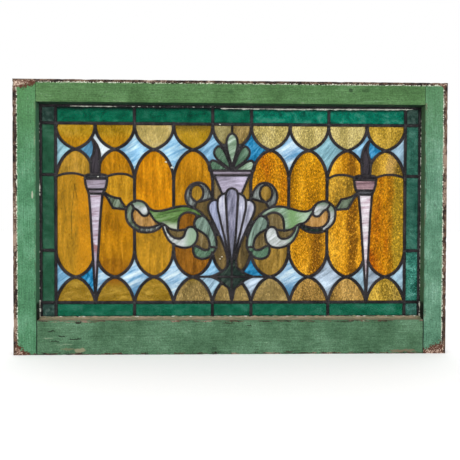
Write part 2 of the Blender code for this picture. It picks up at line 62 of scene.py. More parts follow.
def tint(shade):
    # A colour as it is seen on a screen, such as "a06404", as the shader's own linear values.
    seen = [int(shade[i:i + 2], 16) / 255 for i in (0, 2, 4)]
    return tuple(c / 12.92 if c < 0.04 else ((c + 0.055) / 1.055) ** 2.4 for c in seen) + (1.0,)


class Wire:
    # A socket's value that can stand in a sum.
    def __init__(self, finish, socket):
        self.finish = finish
        self.socket = socket

    def maths(self, operation, first, second=0.0):
        return self.finish.node("ShaderNodeMath", {"operation": operation}, {0: first, 1: second})

    def __add__(self, other):
        return self.maths("ADD", self, other)

    def __sub__(self, other):
        return self.maths("SUBTRACT", self, other)

    def __rsub__(self, other):
        return self.maths("SUBTRACT", other, self)

    def __mul__(self, other):
        return self.maths("MULTIPLY", self, other)

    def __abs__(self):
        return self.maths("ABSOLUTE", self)

    def least(self, other):
        return self.maths("MINIMUM", self, other)

    def most(self, other):
        return self.maths("MAXIMUM", self, other)

    __radd__ = __add__
    __rmul__ = __mul__


socketNames = {
    "colour": "Base Color", "rough": "Roughness", "metal": "Metallic", "normal": "Normal",
    "clear": "Transmission Weight", "bend": "IOR", "shine": "Specular IOR Level",
    "glow": "Emission Color", "glowStrength": "Emission Strength",
}


class Finish:
    # One material, with its Principled shader and the nodes that feed it.
    def __init__(self, name):
        self.material = bpy.data.materials.new(name)
        self.material.use_nodes = True
        self.tree = self.material.node_tree
        self.surface = self.tree.nodes["Principled BSDF"]
        self.place = self.node("ShaderNodeTexCoord", output="Object")

    def node(self, kind, settings=None, values=None, output=0):
        made = self.tree.nodes.new(kind)
        for name, value in (settings or {}).items():
            if name == "stops":
                self.setStops(made.color_ramp, value)
            else:
                setattr(made, name, value)
        for socket, value in (values or {}).items():
            self.feed(made.inputs[socket], value)
        return Wire(self, made.outputs[output])

    def setStops(self, ramp, stops):
        while len(ramp.elements) < len(stops):
            ramp.elements.new(1.0)
        for element, (place, colour) in zip(ramp.elements, stops):
            element.position = place
            element.color = colour

    def feed(self, socket, value):
        if isinstance(value, Wire):
            self.tree.links.new(value.socket, socket)
        else:
            socket.default_value = value

    def shade(self, **sockets):
        for name, value in sockets.items():
            self.feed(self.surface.inputs[socketNames[name]], value)

    def axis(self, vector, letter):
        return self.node("ShaderNodeSeparateXYZ", {}, {"Vector": vector}, output=letter)

    def scaled(self, size, lean=0.0, start=(0, 0, 0)):
        # The place counted in lengths of size, after a turn by lean degrees in the glass's plane.
        turn = (0, math.radians(lean), 0)
        sockets = {"Vector": self.place, "Location": start, "Rotation": turn, "Scale": size}
        return self.node("ShaderNodeMapping", {"vector_type": "TEXTURE"}, sockets)

    def clouds(self, size, detail=3, rough=0.55, bend=0.0, at=None):
        sockets = {"Vector": at or self.place, "Scale": 1 / size, "Detail": detail, "Roughness": rough,
                   "Distortion": bend}
        return self.node("ShaderNodeTexNoise", {}, sockets)

    def ramp(self, value, spread, shades):
        stops = zip((0.5 - spread, 0.5, 0.5 + spread), shades)
        return self.node("ShaderNodeValToRGB", {"stops": tuple(stops)}, {"Fac": value})

    def step(self, value, start, end):
        # 0 before start and 1 after end, with a soft turn between them.
        sockets = {0: value, 1: start, 2: end, 3: 0.0, 4: 1.0}
        return self.node("ShaderNodeMapRange", {"interpolation_type": "SMOOTHSTEP"}, sockets)

    def mix(self, share, first, second):
        return self.node("ShaderNodeMix", {"data_type": "RGBA"}, {0: share, 6: first, 7: second}, output=2)

    def dimmed(self, colour, share):
        return self.node("ShaderNodeVectorMath", {"operation": "SCALE"}, {0: colour, "Scale": share})

    def bump(self, height, depth, strength=1.0):
        sockets = {"Height": height, "Distance": depth, "Strength": strength}
        return self.node("ShaderNodeBump", {}, sockets)


def addPiece(name, mesh, finish, smoothAngle):
    mesh.shade_smooth()
    mesh.set_sharp_from_angle(angle=math.radians(smoothAngle))
    mesh.materials.append(finish.material)
    piece = bpy.data.objects.new(name, mesh)
    bpy.context.scene.collection.objects.link(piece)
    return piece


def piecePlotted(name, corners, faces, finish, smoothAngle=40):
    mesh = bpy.data.meshes.new(name)
    mesh.from_pydata(corners, [], faces)
    mesh.update()
    return addPiece(name, mesh, finish, smoothAngle)


def pieceFormed(name, form, finish, smoothAngle):
    mesh = bpy.data.meshes.new(name)
    form.to_mesh(mesh)
    form.free()
    return addPiece(name, mesh, finish, smoothAngle)


# Leading. The ornament is drawn in millimetres on columns of drawnPitch and a field of drawnHeight,
# and is scaled from that drawing to the real pitch and height.
leading = {
    "fieldCame": 0.00635,
    "ornamentCame": 0.0048,
    "edgeCame": 0.0127,
    "sideBorder": 0.0338,        # opening's edge to the middle of the field's outer came
    "topBorder": 0.0395,
    "bottomBorder": 0.034,
    "sideColumns": 4,
    "handDrift": 0.0034,         # how far the right-hand cames lean in at half height
    "drawnPitch": 82.5,
    "drawnHeight": 377.0,
    "curveSteps": 24,
    "curveError": 0.00006,
    "outlineError": 0.00012,
    "smallestPane": 0.00006,     # a smaller gap is filled with solder
    "tipLimit": 0.625,           # a mitre reaches no farther than its width over this
    "bendLimit": 0.5,            # the same for the bends of a came's outline
}
fieldHalf = openingHalf - leading["sideBorder"]
fieldBottom = openingLow + leading["bottomBorder"]
fieldHeight = openingTop - leading["topBorder"] - fieldBottom
pitch = 2 * fieldHalf / (2 * leading["sideColumns"] + 1)


def spot(u, v):
    # A place of the drawing, in metres from the panel's middle and the sash's foot.
    rise = v / leading["drawnHeight"] * fieldHeight
    return Vector((u / leading["drawnPitch"] * pitch, fieldBottom + rise))


def cubic(a, b, c, d, start=0.0, end=1.0):
    points = []
    for i in range(leading["curveSteps"] + 1):
        t = start + (end - start) * i / leading["curveSteps"]
        s = 1 - t
        points.append(s * s * s * a + 3 * s * s * t * b + 3 * s * t * t * c + t * t * t * d)
    return points


def through(*marks):
    # A smooth curve through the marks, each a pair of drawing units.
    knots = line(*marks)
    ends = [2 * knots[0] - knots[1]] + knots + [2 * knots[-1] - knots[-2]]
    points = [knots[0]]
    for before, a, d, after in zip(ends, ends[1:], ends[2:], ends[3:]):
        points += cubic(a, a + (d - before) / 6, d - (after - a) / 6, d)[1:]
    return points


def line(*marks):
    return [spot(*mark) for mark in marks]


# The cames of the ornament's right half. The ring's eye is an oval that dips a little at its foot.
ringTurn = [math.pi * i / 8 for i in range(18)]
ringEye = [
    (74.5 + 13.6 * math.cos(turn), 231.8 + 17.3 * math.sin(turn) - (2 if i == 12 else 0))
    for i, turn in enumerate(ringTurn)
]
ornament = {
    "torch": [
        through((297, 346.5), (289.5, 339), (283, 328), (279.5, 316), (278.5, 303), (279, 288), (280, 270)),
        through((297, 346.5), (292.5, 335), (291, 324), (293, 313), (297, 303), (298.5, 292), (297.5, 270)),
        through((309.5, 267), (310, 257), (308.5, 247), (305, 237), (302, 229.5)),
        through((264.5, 267), (264, 257), (265.5, 247), (269, 237), (273.5, 229.5)),
        through((309.5, 267), (303, 269.5), (287, 270), (271, 269.5), (264.5, 267)),
        line((310, 261), (264, 261)),
        line((306, 238.5), (268, 238.5)),
        line((302, 229.5), (273.5, 229.5)),
        line((302, 229.5), (299, 190), (289.5, 20), (288.75, 0)),
        line((273.5, 229.5), (277.5, 190), (288, 20), (288.75, 0)),
        through((371.25, 265.5), (350, 271.5), (329, 271.5), (309.5, 266)),
        through((264.5, 266), (250, 270), (236, 271.5), (221, 269.5), (206.25, 262.5)),
    ],
    "arrow leaf": [
        through((271, 234), (262, 227), (250, 222), (237, 219.5))
        + through((237, 219.5), (232, 210), (224.5, 199.5))[1:],
        through((273, 231), (264, 221.5), (258, 211), (251.5, 199))
        + through((251.5, 199), (240, 198.3), (224.5, 196.5))[1:],
    ],
    "C scroll": [
        through((60, 183.8), (67, 191), (77, 197.5), (88, 202), (99, 203.8), (110, 203.3), (124, 200.8),
            (135, 197.5), (145, 194.8), (155, 193.4), (164, 193.8), (171.5, 196.5), (176.5, 200.5),
            (181.5, 206.8), (188, 212.3), (197, 215), (206, 214.5), (214, 210), (220, 204.5), (224, 197),
            (224.3, 186), (222.5, 174), (217, 165), (208, 156.5), (199, 151), (190, 148.5), (180, 148),
            (170, 149.3), (161, 152.5), (153, 157.5), (147.5, 164)),
        through((206.5, 198.5), (210.5, 191), (211.3, 183), (209.3, 173.5), (204, 165.5), (197, 160.5),
            (189, 158.6), (180, 158.3), (170, 159.3), (161, 162), (153, 165.5), (147.5, 167)),
        through((181.5, 206.8), (178, 199), (176.3, 191), (178.5, 185), (184, 182.8), (189.5, 184),
            (194, 188.5), (200, 195), (206.5, 198.5)),
        line((206.5, 198.5), (214, 210)),
        line((194.5, 159.5), (197, 150)),
    ],
    "acanthus": [
        through((176.3, 191), (172.5, 186.5), (168, 179.5), (162.5, 172.5), (156, 168.2), (147.5, 166.6),
            (141, 163), (136, 159), (130.5, 155.8), (123, 153.6), (114.5, 152.7), (106, 153.3),
            (97.5, 154.5)),
        through((114.5, 151), (114, 161), (113.5, 170), (111, 179.5), (106, 186), (98.5, 190),
            (90, 190.8), (81, 188.3), (73, 183.5), (68, 182.5)),
        through((74, 184), (78, 176), (80, 169), (79.5, 161.5), (77, 155.5)),
    ],
    "hook comma": [
        through((147.5, 166), (145.5, 156), (141, 144), (133.5, 131.5), (122.5, 122), (110.5, 117.3),
            (99, 116), (88, 118), (79.5, 124), (74.5, 133), (73, 143), (75.5, 152), (81, 158.5),
            (87.5, 160.3), (93, 159), (97.5, 154.5), (99.5, 147.5), (102, 140.5), (107.5, 136),
            (114, 135), (122, 136.8), (130, 142.5), (136.5, 152), (139.5, 162.5)),
    ],
    "side leaf": [
        through((79, 172), (75, 178), (70, 181.8), (63, 183.8), (56, 180), (50, 172.5), (45.5, 165.5),
            (40, 153.5), (35.5, 141), (32.7, 128), (33, 117), (36, 110), (40.5, 103.5), (46, 98),
            (53.5, 93.7), (64, 92.3), (74, 95.2), (80, 101.5), (82.5, 111), (81.5, 121.5)),
        through((79.5, 165), (77, 157), (70, 152.3), (61, 147), (53.5, 140), (49, 131), (47, 122),
            (47.5, 116.5), (51, 111.8), (57, 111), (64, 113.3), (70, 117), (75, 119), (81, 121.5)),
        line((47.2, 117.5), (33, 117)),
        line((45, 98.8), (41.25, 104)),
    ],
    "ring": [
        through((86, 202), (94, 208), (98, 218), (98.5, 228), (94.5, 240), (86, 249.5), (74.5, 253.5),
            (62.5, 252), (53, 245), (46.5, 234), (41.25, 221)),
        through(*ringEye),
        line((74.5, 213), (80.5, 200.5)),
        through((74.5, 213), (66, 214), (55, 217), (41.25, 220.5)),
    ],
    "palmette": [
        through((0, 358), (7, 353.5), (11.3, 344), (11.8, 334), (9.8, 321), (6, 307), (2.7, 297), (0, 288)),
        through((4, 283.5), (12.5, 288.5), (24, 297), (32.5, 304.5), (37.5, 313), (37.5, 321), (33, 328),
            (28, 330.5), (22.5, 328), (16.5, 319.5), (11, 308), (7, 297.5), (3.5, 287)),
        through((7, 281), (18, 288.5), (30, 296.5), (39.5, 300.5), (45, 298.5), (49, 290.5), (48.5, 281),
            (47, 279)),
        line((0, 377), (0, 356)),
    ],
    "urn": [
        line((44, 279.2), (0, 279.2)),
        line((41.25, 269.3), (0, 269.3)),
        line((38, 269.3), (21, 230)),
        line((46, 281), (42.5, 262)),
    ],
    "fan": [
        through((0, 242.3), (7.5, 239.5), (12, 233), (13.3, 222), (12.6, 205), (11.6, 188), (10.3, 170),
            (9, 150), (7.2, 130), (5, 110), (2.5, 94), (0, 84)),
        through((12.6, 231.5), (20, 229.5), (26.5, 224.5), (30.3, 216), (30.3, 200), (27, 184),
            (23.3, 168), (19, 151), (14.5, 132.5), (9.5, 113), (4.5, 93)),
        through((30.3, 216), (37.5, 217.3), (45, 213.7), (49.8, 205.5), (50, 196), (47, 186.5),
            (41.5, 175), (35.5, 163), (29.5, 150), (23.5, 136.5), (18, 122.5), (13, 108), (9.5, 93),
            (9, 78)),
    ],
    "star": [
        through((46, 54.5), (36, 58), (26, 63), (17.5, 68.5), (11, 75), (9, 84)),
        through((46, 54.5), (36, 51), (26.5, 46), (20, 39.8), (12.5, 34.8), (7, 29.5), (4, 19), (0, 0)),
        line((82.5, 54), (46, 54.5)),
        line((46, 54.5), (0, 54)),
    ],
}
# Solder that fills the crotches between the palmette's leaves, and the crack between the fan and the
# leaf beside it.
solderWebs = [
    line((11, 337), (13, 318), (20, 322), (28, 333), (20, 335)),
    line((9, 312), (7, 297), (13, 307)),
    line((14, 289), (32, 299), (22, 298)),
    line((50, 173.5), (45, 165.5), (39.5, 153.5), (35, 140), (25.5, 141), (30, 150.5), (36, 163), (42, 175)),
]


def thinned(points, error):
    # Fewest points that keep the curve within the given error.
    if len(points) < 3:
        return points
    first, last = points[0], points[-1]
    if (last - first).length < error:
        gaps = [(p - first).length for p in points]
    else:
        gaps = [(p - intersect_point_line(p, first, last)[0].to_2d()).length for p in points]
    worst = max(range(len(points)), key=gaps.__getitem__)
    if gaps[worst] < error:
        return [first, last]
    return thinned(points[:worst + 1], error)[:-1] + thinned(points[worst:], error)


def mirrored(path):
    return [Vector((-p.x, p.y)) for p in path]


def laid(point):
    # The cames of the right half lean towards the middle between the field's corners.
    if point.x <= 0 or point.x >= fieldHalf:
        return point
    rise = min(max((point.y - fieldBottom) / fieldHeight, 0), 1)
    lean = math.sin(math.pi * rise) * math.sin(math.pi * point.x / fieldHalf)
    return Vector((point.x - leading["handDrift"] * lean, point.y))


def scallops():
    # Each column ends in a pointed curve above and below, and the curves cross in pairs. Some stop
    # at a torch, and those of the middle column at the urn and the star.
    high, low = 322.5, 54.0
    half = leading["drawnPitch"] / 2
    cames = []
    for column in range(-leading["sideColumns"], leading["sideColumns"] + 1):
        for side in (-1, 1):
            centre = column == 0
            torchSide = abs(column + side / 2) == leading["sideColumns"] - 0.5
            arms = [
                (0, 0.72 if centre else 1, (half, 372), (39.5, 345), (22, 330), (0, high)),
                (0.42 if centre else 0, 1, (0, low), (17, 51), (36, 30), (half, 0)),
                (0.45 if centre else 0, 0.76 if torchSide else 1, (0, low), (14, 56), (38, 72), (half, 108)),
            ]
            if not centre:
                arms.append((0, 0.66 if torchSide else 1, (0, high), (17, 320.5), (38, 297), (half, 262)))
            for start, end, *marks in arms:
                places = [(column * leading["drawnPitch"] + side * u, v) for u, v in marks]
                cames.append(cubic(*line(*places), start, end))
    return cames


def columns():
    # Straight cames between the columns, stopped by the ornament.
    step = leading["drawnPitch"]
    half = step / 2
    spans = [(half + step * i, 377, 368) for i in range(leading["sideColumns"])]
    spans += [(half, 264, 219), (half + step, 264, 200.8), (half + step, 122.5, 106)]
    spans += [(half + 2 * step, 264, 214), (half + 2 * step, 154.5, 106)]
    return [line((u, top), (u, foot)) for u, top, foot in spans]


def borderCames():
    side = fieldHalf / pitch * leading["drawnPitch"]
    edge = (openingHalf + panelLap - leading["edgeCame"] / 2) / pitch * leading["drawnPitch"]
    unit = leading["drawnHeight"] / fieldHeight
    height, half = leading["drawnHeight"], leading["drawnPitch"] / 2
    top = height + (leading["topBorder"] + panelLap - leading["edgeCame"] / 2) * unit
    bottom = -(leading["bottomBorder"] + panelLap - leading["edgeCame"] / 2) * unit
    across = [line((-edge, height), (edge, height)), line((-edge, 0), (edge, 0))]
    sides = [line((side, bottom), (side, top))]
    sides += [line((side, v), (edge, v)) for v in (269, 110)]
    for u in (half, half + 2 * leading["drawnPitch"]):
        sides += [line((u, height), (u, top)), line((u, 0), (u, bottom))]
    return across, sides


def paths():
    # Every came as a centre line with its width.
    across, sides = borderCames()
    field, slim = leading["fieldCame"], leading["ornamentCame"]
    drawn = [(path, field) for path in scallops() + across] + [(line((0, 90), (0, 14)), slim)]
    paired = [(path, field) for path in columns() + sides]
    paired += [(path, slim) for piece in ornament.values() for path in piece]
    for path, width in paired:
        drawn += [(path, width), (mirrored(path), width)]
    return [(thinned([laid(p) for p in path], leading["curveError"]), width) for path, width in drawn]


def ringOf(loop):
    return list(zip(loop, loop[1:] + loop[:1]))


def areaOf(outline):
    return sum(a.x * b.y - b.x * a.y for a, b in ringOf(outline)) / 2


def covers(outline, seed):
    inside = False
    for a, b in ringOf(outline):
        if (a.y > seed.y) != (b.y > seed.y):
            if seed.x < a.x + (seed.y - a.y) / (b.y - a.y) * (b.x - a.x):
                inside = not inside
    return inside


def grown(outline, distance):
    # The outline moved outwards, or inwards where the distance is below 0.
    moved = []
    for before, here, after in zip(outline[-1:] + outline, outline, outline[1:] + outline[:1]):
        ahead = (after - here).normalized()
        way = ((here - before).normalized() + ahead).normalized()
        reach = distance / max(way.dot(ahead), leading["tipLimit"])
        moved.append(here + Vector((way.y, -way.x)) * reach)
    return moved


def bends(path):
    # Each point with the direction across the path, and how straight the path is there.
    for i, point in enumerate(path):
        back = (point - path[max(i - 1, 0)]).normalized()
        ahead = (path[min(i + 1, len(path) - 1)] - point).normalized()
        way = (back + ahead).normalized()
        yield point, Vector((-way.y, way.x)), abs(way.dot(ahead if ahead.length else back))


def strip(path, half):
    # A came as four-cornered lengths, mitred at each bend.
    limit = leading["bendLimit"]
    reaches = [(point, across * (half / max(straight, limit))) for point, across, straight in bends(path)]
    return [[a - outA, b - outB, b + outB, a + outA] for (a, outA), (b, outB) in zip(reaches, reaches[1:])]


def panelEdge():
    half = openingHalf + panelLap
    low, high = openingLow - panelLap, openingTop + panelLap
    return [Vector((-half, low)), Vector((half, low)), Vector((half, high)), Vector((-half, high))]


def triangulated(marks, sides, faces, near):
    # Blender's triangulation works best on numbers near 1, so the panel is taken in millimetres.
    points, *rest = delaunay_2d_cdt([p * 1000 for p in marks], sides, faces, 0, near, True)
    return [p / 1000 for p in points], rest


def openings():
    # Outlines of the glass seen between the cames.
    faces = [length for path, width in paths() for length in strip(path, width / 2)]
    for web in solderWebs:
        faces += [web, mirrored(web)]
    edge = panelEdge()
    inner = grown(edge, -leading["edgeCame"])
    faces += [[a, b, d, c] for (a, b), (c, d) in zip(ringOf(edge), ringOf(inner))]
    corners, cells = [], []
    for face in faces:
        cells.append(list(range(len(corners), len(corners) + len(face))))
        corners += face if areaOf(face) > 0 else face[::-1]
    points, (_, triangles, _, _, source) = triangulated(corners, [], cells, 1e-4)

    def isBare(triangle, near):
        # Only the lengths of came that are named for a triangle can cover it.
        middle = sum((points[i] for i in triangle), Vector((0, 0))) / len(triangle)
        return not any(covers(faces[n], middle) for n in near)

    bare = [triangle for triangle, near in zip(triangles, source) if isBare(triangle, near)]
    return [simplified(outlineOf(points, group)) for group in grouped(bare)]


def grouped(triangles):
    # Triangles that share an edge are one group.
    edges = [{frozenset(pair) for pair in ringOf(triangle)} for triangle in triangles]
    owners = {}
    for i, own in enumerate(edges):
        for edge in own:
            owners.setdefault(edge, []).append(i)
    groups, seen = [], set()
    for start in range(len(triangles)):
        if start in seen:
            continue
        seen.add(start)
        group = [start]
        for current in group:
            for edge in edges[current]:
                fresh = [i for i in owners[edge] if i not in seen]
                seen.update(fresh)
                group += fresh
        groups.append([triangles[i] for i in group])
    return groups


def outlineOf(points, group):
    # The outline of a group of triangles runs along the edges that only one of them has.
    follow = dict(openEdges(group))
    loop = [min(follow)]
    while follow[loop[-1]] != loop[0]:
        loop.append(follow[loop[-1]])
    return [points[i] for i in loop]


def openEdges(triangles):
    directed = {side for triangle in triangles for side in ringOf(triangle)}
    return [(a, b) for a, b in directed if (b, a) not in directed]


def simplified(outline):
    # A closed outline with the fewest points, kept at its two farthest ends. A thin tip keeps
    # more of its points, so that its two sides never cross.
    first = min(range(len(outline)), key=lambda i: outline[i].x + outline[i].y)
    turned = outline[first:] + outline[:first]
    far = max(range(len(turned)), key=lambda i: (turned[i] - turned[0]).length)
    error = leading["outlineError"]
    while True:
        result = thinned(turned[:far + 1], error)[:-1] + thinned(turned[far:] + turned[:1], error)[:-1]
        if not crossesItself(result):
            return result
        error /= 2


def crossesItself(outline):
    sides = ringOf(outline)
    for i, side in enumerate(sides):
        for j in range(i + 2, len(sides)):
            if (j + 1) % len(sides) != i and intersect_line_line_2d(*side, *sides[j]):
                return True
    return len(outline) < 3


# Lead cames.
came = {
    "flange": 0.0012,            # height of the rounded flange over the glass
    "heart": 0.0016,             # thickness of the wall between two panes
    "arcSteps": 6,
    "arcSwell": 0.8,             # 1 is a half round, less is fuller
    "spacing": 0.006,            # points are no farther apart than this along a came
    "bendLimit": 0.6,            # a mitre reaches no farther than its width over this
    "unevenness": 0.00022,       # how far the flanges wander by hand
    "unevenLength": 0.02,
    "unevenWidth": 0.07,         # share of the width that comes and goes
    "solderSpread": 1.25,        # solder blob's radius over the came's half width
    "solderHeight": 0.0004,
    "solderSides": 14,
    "solderStretch": 0.25,       # how unlike in size the blobs are
    "solderLump": 0.16,          # how uneven their rims are
    "solderRings": ((1.0, 0.0), (0.93, 0.55), (0.72, 0.84), (0.4, 0.97)),    # share out, share up
    "solderApart": 0.0035,       # two meeting points closer than this share one blob
    "webInset": 0.0006,          # how far a web lies below the cames, and how far it runs under them
}


def leadFinish():
    finish = Finish("Oxidised lead")
    patches = finish.clouds(0.035, 4)
    specks = finish.clouds(0.0022, 3, 0.7)
    grey = finish.mix(finish.step(patches, 0.35, 0.68), tint("161417"), tint("322e30"))
    dusty = finish.mix(finish.step(specks, 0.56, 0.72), grey, tint("625c5e"))
    normal = finish.bump(finish.clouds(0.004, 3) + specks * 0.35, 0.0005, 0.7)
    finish.shade(colour=dusty, rough=patches * 0.3 + 0.34, metal=0.35, normal=normal, shine=0.2)
    return finish


def solderFinish():
    finish = Finish("Old solder")
    stain = finish.clouds(0.006, 4, 0.65)
    grey = finish.mix(finish.step(stain, 0.4, 0.66), tint("1e1d20"), tint("424041"))
    normal = finish.bump(finish.clouds(0.0025, 2), 0.0003, 0.6)
    finish.shade(colour=grey, rough=stain * 0.35 + 0.18, metal=0.5, normal=normal, shine=0.2)
    return finish


def flanges(side):
    # Where the flanges meet the glass, in front (side -1) or behind (side 1).
    return cameFront + came["flange"] if side < 0 else cameBack - came["flange"]


def cameProfile(width):
    # Half round flanges in front and behind, joined by the heart: (across, depth) round the section.
    steps, thin = came["arcSteps"], came["heart"] / 2
    ring = []
    for side in (-1, 1):
        depth = flanges(side)
        for i in range(steps + 1):
            angle = math.pi * (1 - i / steps if side < 0 else i / steps)
            rise = came["flange"] * math.sin(angle) ** came["arcSwell"]
            ring.append((width / 2 * math.cos(angle), depth + side * rise))
        ring += [(-side * thin, depth), (-side * thin, flanges(-side))]
    return ring


def sweep(path, width, corners, faces):
    # The came's section carried along its centre line, mitred at each bend.
    ring = cameProfile(width)
    first, count = len(corners), len(ring)
    for point, across, straight in bends(even(path)):
        place = Vector((point.x, 0, point.y)) / came["unevenLength"]
        wander = came["unevenness"] * noise.noise(place)
        swell = 1 + came["unevenWidth"] * noise.noise(place + Vector((7, 3, 1)))
        for side, depth in ring:
            at = point + across * (1 / max(straight, came["bendLimit"])) * (side * swell + wander)
            corners.append((at.x, depth, at.y))
    for low in range(first, len(corners) - count, count):
        faces += [(i, i + count, j + count, j) for i, j in ringOf(list(range(low, low + count)))]
    faces.append(tuple(range(first, first + count)))
    faces.append(tuple(range(len(corners) - 1, len(corners) - 1 - count, -1)))


def even(path):
    # The same line with more points along its straight stretches.
    points = [path[0]]
    for a, b in zip(path, path[1:]):
        count = max(1, math.ceil((b - a).length / came["spacing"]))
        points += [a.lerp(b, (i + 1) / count) for i in range(count)]
    return points


def junctions(drawn):
    # Where centre lines meet or end, with the width of the came there.
    marks, pairs, widths = [], [], []
    for path, width in drawn:
        pairs += [(len(marks) + i, len(marks) + i + 1) for i in range(len(path) - 1)]
        marks += path
        widths += [width] * (len(path) - 1)
    points, (edges, _, _, sources, _) = triangulated(marks, pairs, [], 1e-3)
    meeting = {}
    for (a, b), owners in zip(edges, sources):
        if owners:
            for end in (a, b):
                meeting.setdefault(end, []).append(max(widths[n] for n in owners))
    found = []
    for end, owners in meeting.items():
        place = points[end]
        if len(owners) != 2 and all((place - other).length > came["solderApart"] for other, _ in found):
            found.append((place, max(owners)))
    return found


def blob(place, width, side, corners, faces):
    # A flattened drop of solder on the front (side -1) or the back (side 1).
    radius = width / 2 * came["solderSpread"]
    base = flanges(side)
    crown = came["flange"] + came["solderHeight"]
    rings, sides, first = came["solderRings"], came["solderSides"], len(corners)
    stretch = 1 + came["solderStretch"] * noise.noise(Vector((place.x, side, place.y)) * 300)
    lumpy = Vector((place.x, place.y, side)) * 170
    for share, rise in rings:
        for i in range(sides):
            angle = 2 * math.pi * i / sides
            way = Vector((math.cos(angle), math.sin(angle), 0))
            out = radius * share * (stretch + came["solderLump"] * noise.noise(way * 1.4 + lumpy))
            corners.append((place.x + out * way.x, base + side * crown * rise, place.y + out * way.y))
    corners.append((place.x, base + side * crown, place.y))
    for low in range(first, first + (len(rings) - 1) * sides, sides):
        for i, j in ringOf(list(range(low, low + sides))):
            faces.append((i, j, j + sides, i + sides)[::side])
    last = first + (len(rings) - 1) * sides
    faces += [(i, j, len(corners) - 1)[::side] for i, j in ringOf(list(range(last, last + sides)))]
    faces.append(tuple(range(first, first + sides))[::-side])


def web(outline, corners, faces):
    # A flat filling of solder, a little thinner than the cames round it.
    loop = outline if areaOf(outline) > 0 else outline[::-1]
    first, count = len(corners), len(loop)
    for depth in (cameFront + came["webInset"], cameBack - came["webInset"]):
        corners += [(p.x, depth, p.y) for p in loop]
    front = list(range(first, first + count))
    faces += [tuple(front), tuple(i + count for i in reversed(front))]
    faces += [(j, i, i + count, j + count) for i, j in ringOf(front)]


drawnCames = [(even(path), width) for path, width in paths()]
corners, faces = [], []
for path, width in drawnCames:
    sweep(path, width, corners, faces)
for a, b in ringOf(grown(panelEdge(), -leading["edgeCame"] / 2)):
    reach = (b - a).normalized() * leading["edgeCame"] / 2
    sweep([a - reach, b + reach], leading["edgeCame"], corners, faces)
cames = piecePlotted("lead_cames", corners, faces, leadFinish(), 50)

corners, faces = [], []
solderSpots = junctions(drawnCames)
for place, width in solderSpots:
    for side in (-1, 1):
        blob(place, width, side, corners, faces)
solder = piecePlotted("solder_joints", corners, faces, solderFinish(), 60)
print(len(drawnCames), "cames and", len(solderSpots), "solder joints")

# Solder in the crotches of the ornament and in every gap too small for glass.
allOpenings = openings()
corners, faces = [], []
for half in solderWebs:
    for outline in (half, mirrored(half)):
        web([laid(p) for p in outline], corners, faces)
for gap in allOpenings:
    if areaOf(gap) <= leading["smallestPane"]:
        web(grown(gap, came["webInset"]), corners, faces)
webs = piecePlotted("solder_webs", corners, faces, solderFinish())
print("solder webs filled")

# Glass. Each sheet has its tints from dark to light, the size of its streaks, their lean from
# upright in degrees, how strong its small mottling is and how clear it is.
amber = {
    "across": 0.01, "along": 0.06, "lean": 0, "mottle": 0.85, "speck": (0.0017, 0.02, 0.0055),
    "calm": 0.23, "clear": 0.85, "rough": 0.16, "slot": "amber_glass",
}
hammered = dict(
    amber, across=0.03, along=0.14, mottle=1.9, speck=(0.0022, 0.02, 0.0042), calm=0.2, rough=0.12,
)
border = dict(
    amber, across=0.02, along=0.016, mottle=0.7, speck=(0.0026, 0.02, 0.0026), clear=0.8,
    slot="border_glass",
)
opal = {
    "across": 0.0065, "along": 0.045, "lean": 38, "mottle": 0.5, "speck": (0.002, 0.02, 0.003),
    "calm": 0.17, "clear": 0.55, "rough": 0.26, "slot": "opal_glass",
}
blueOpal = dict(opal, slot="blue_glass")
mauveOpal = dict(opal, lean=4, slot="lavender_glass")
leafOpal = dict(opal, slot="leaf_glass")
sheets = {}


def cut(base, **tints):
    # Sheets that differ only in their tints.
    for name, shades in tints.items():
        sheets[name] = dict(base, tints=shades)


cut(amber, amber="a06404 cc8708 eaa61a", amberDeep="8e5c06 b67d0c d4971e",
    amberBright="9c6c16 c8941e ecb634", dullGold="8a6a1e b88e2e d8aa48", oldGold="8e6a1a b8881e d8a230")
cut(hammered, amberHammered="966406 cc8f0c f2b62a", bronzeHammered="8e5a06 c88c14 f2b836",
    orangeHammered="a65402 c2820a eeae26", goldHammered="705c1a b29130 ecc65a",
    dullGoldHammered="82641c c2952e f2c44c")
cut(dict(hammered, mottle=1.6), strawHammered="887c42 beac66 e8d896")
cut(dict(hammered, mottle=1.7), duskHammered="705826 9a783a d0aa60")
cut(dict(amber, across=0.03, along=0.04), gold="8e6e0c b48e1c d2aa3e", oliveTan="625934 8f8453 b4aa76")
cut(dict(amber, across=0.02, along=0.03), tan="9c8c4e bea965 d2c28a")
cut(dict(amber, across=0.03, along=0.012), oliveGold="785c0e 987822 bc9a3c")
cut(dict(amber, across=0.03, along=0.05, mottle=1.3), duskTan="68582e 937d49 c2a86c")
cut(dict(amber, slot="brown_glass"), brownAmber="603a0a 885816 b07624",
    dullBrown="624e20 967732 be9b4c", brown="524626 76643e 968660", darkBrown="382f1c 645432 8e7648")
cut(dict(amber, clear=0.6), orangeOpal="8a602a ba8f50 e4ba7e")
cut(dict(opal, lean=8, slot="brown_glass"), flame="242226 3c373c 58525a")
cut(border, border="004e34 146a4e 3a7c66", borderTop="003c2c 00674a 307c64",
    borderTopTeal="004236 007b61 509a88", borderDull="14422c 285c42 426e58")
cut(dict(border, mottle=1.8), borderTeal="144e40 327868 7cbcae")
cut(dict(border, mottle=1.3), borderSlate="18443a 2e6656 528676")
cut(dict(border, across=0.01, along=0.01), corner="142a24 2c4840 546a62",
    cornerLow="1e483c 386c60 5a8880")
cut(blueOpal, paleBlue="7c96a7 a6c6d9 ccecfc", blue="446e8a 5b92b2 77b8dc", teal="7099a4 90bdc9 b3dee9")
cut(dict(blueOpal, along=0.02), strongBlue="08628c 2a8cbc 6cc0ec")
cut(dict(blueOpal, lean=58), skyStreaks="6aa7cd a5d4f1 e7ffff")
cut(dict(blueOpal, lean=50), skyDeep="598cae 83b5d4 b4e1fc")
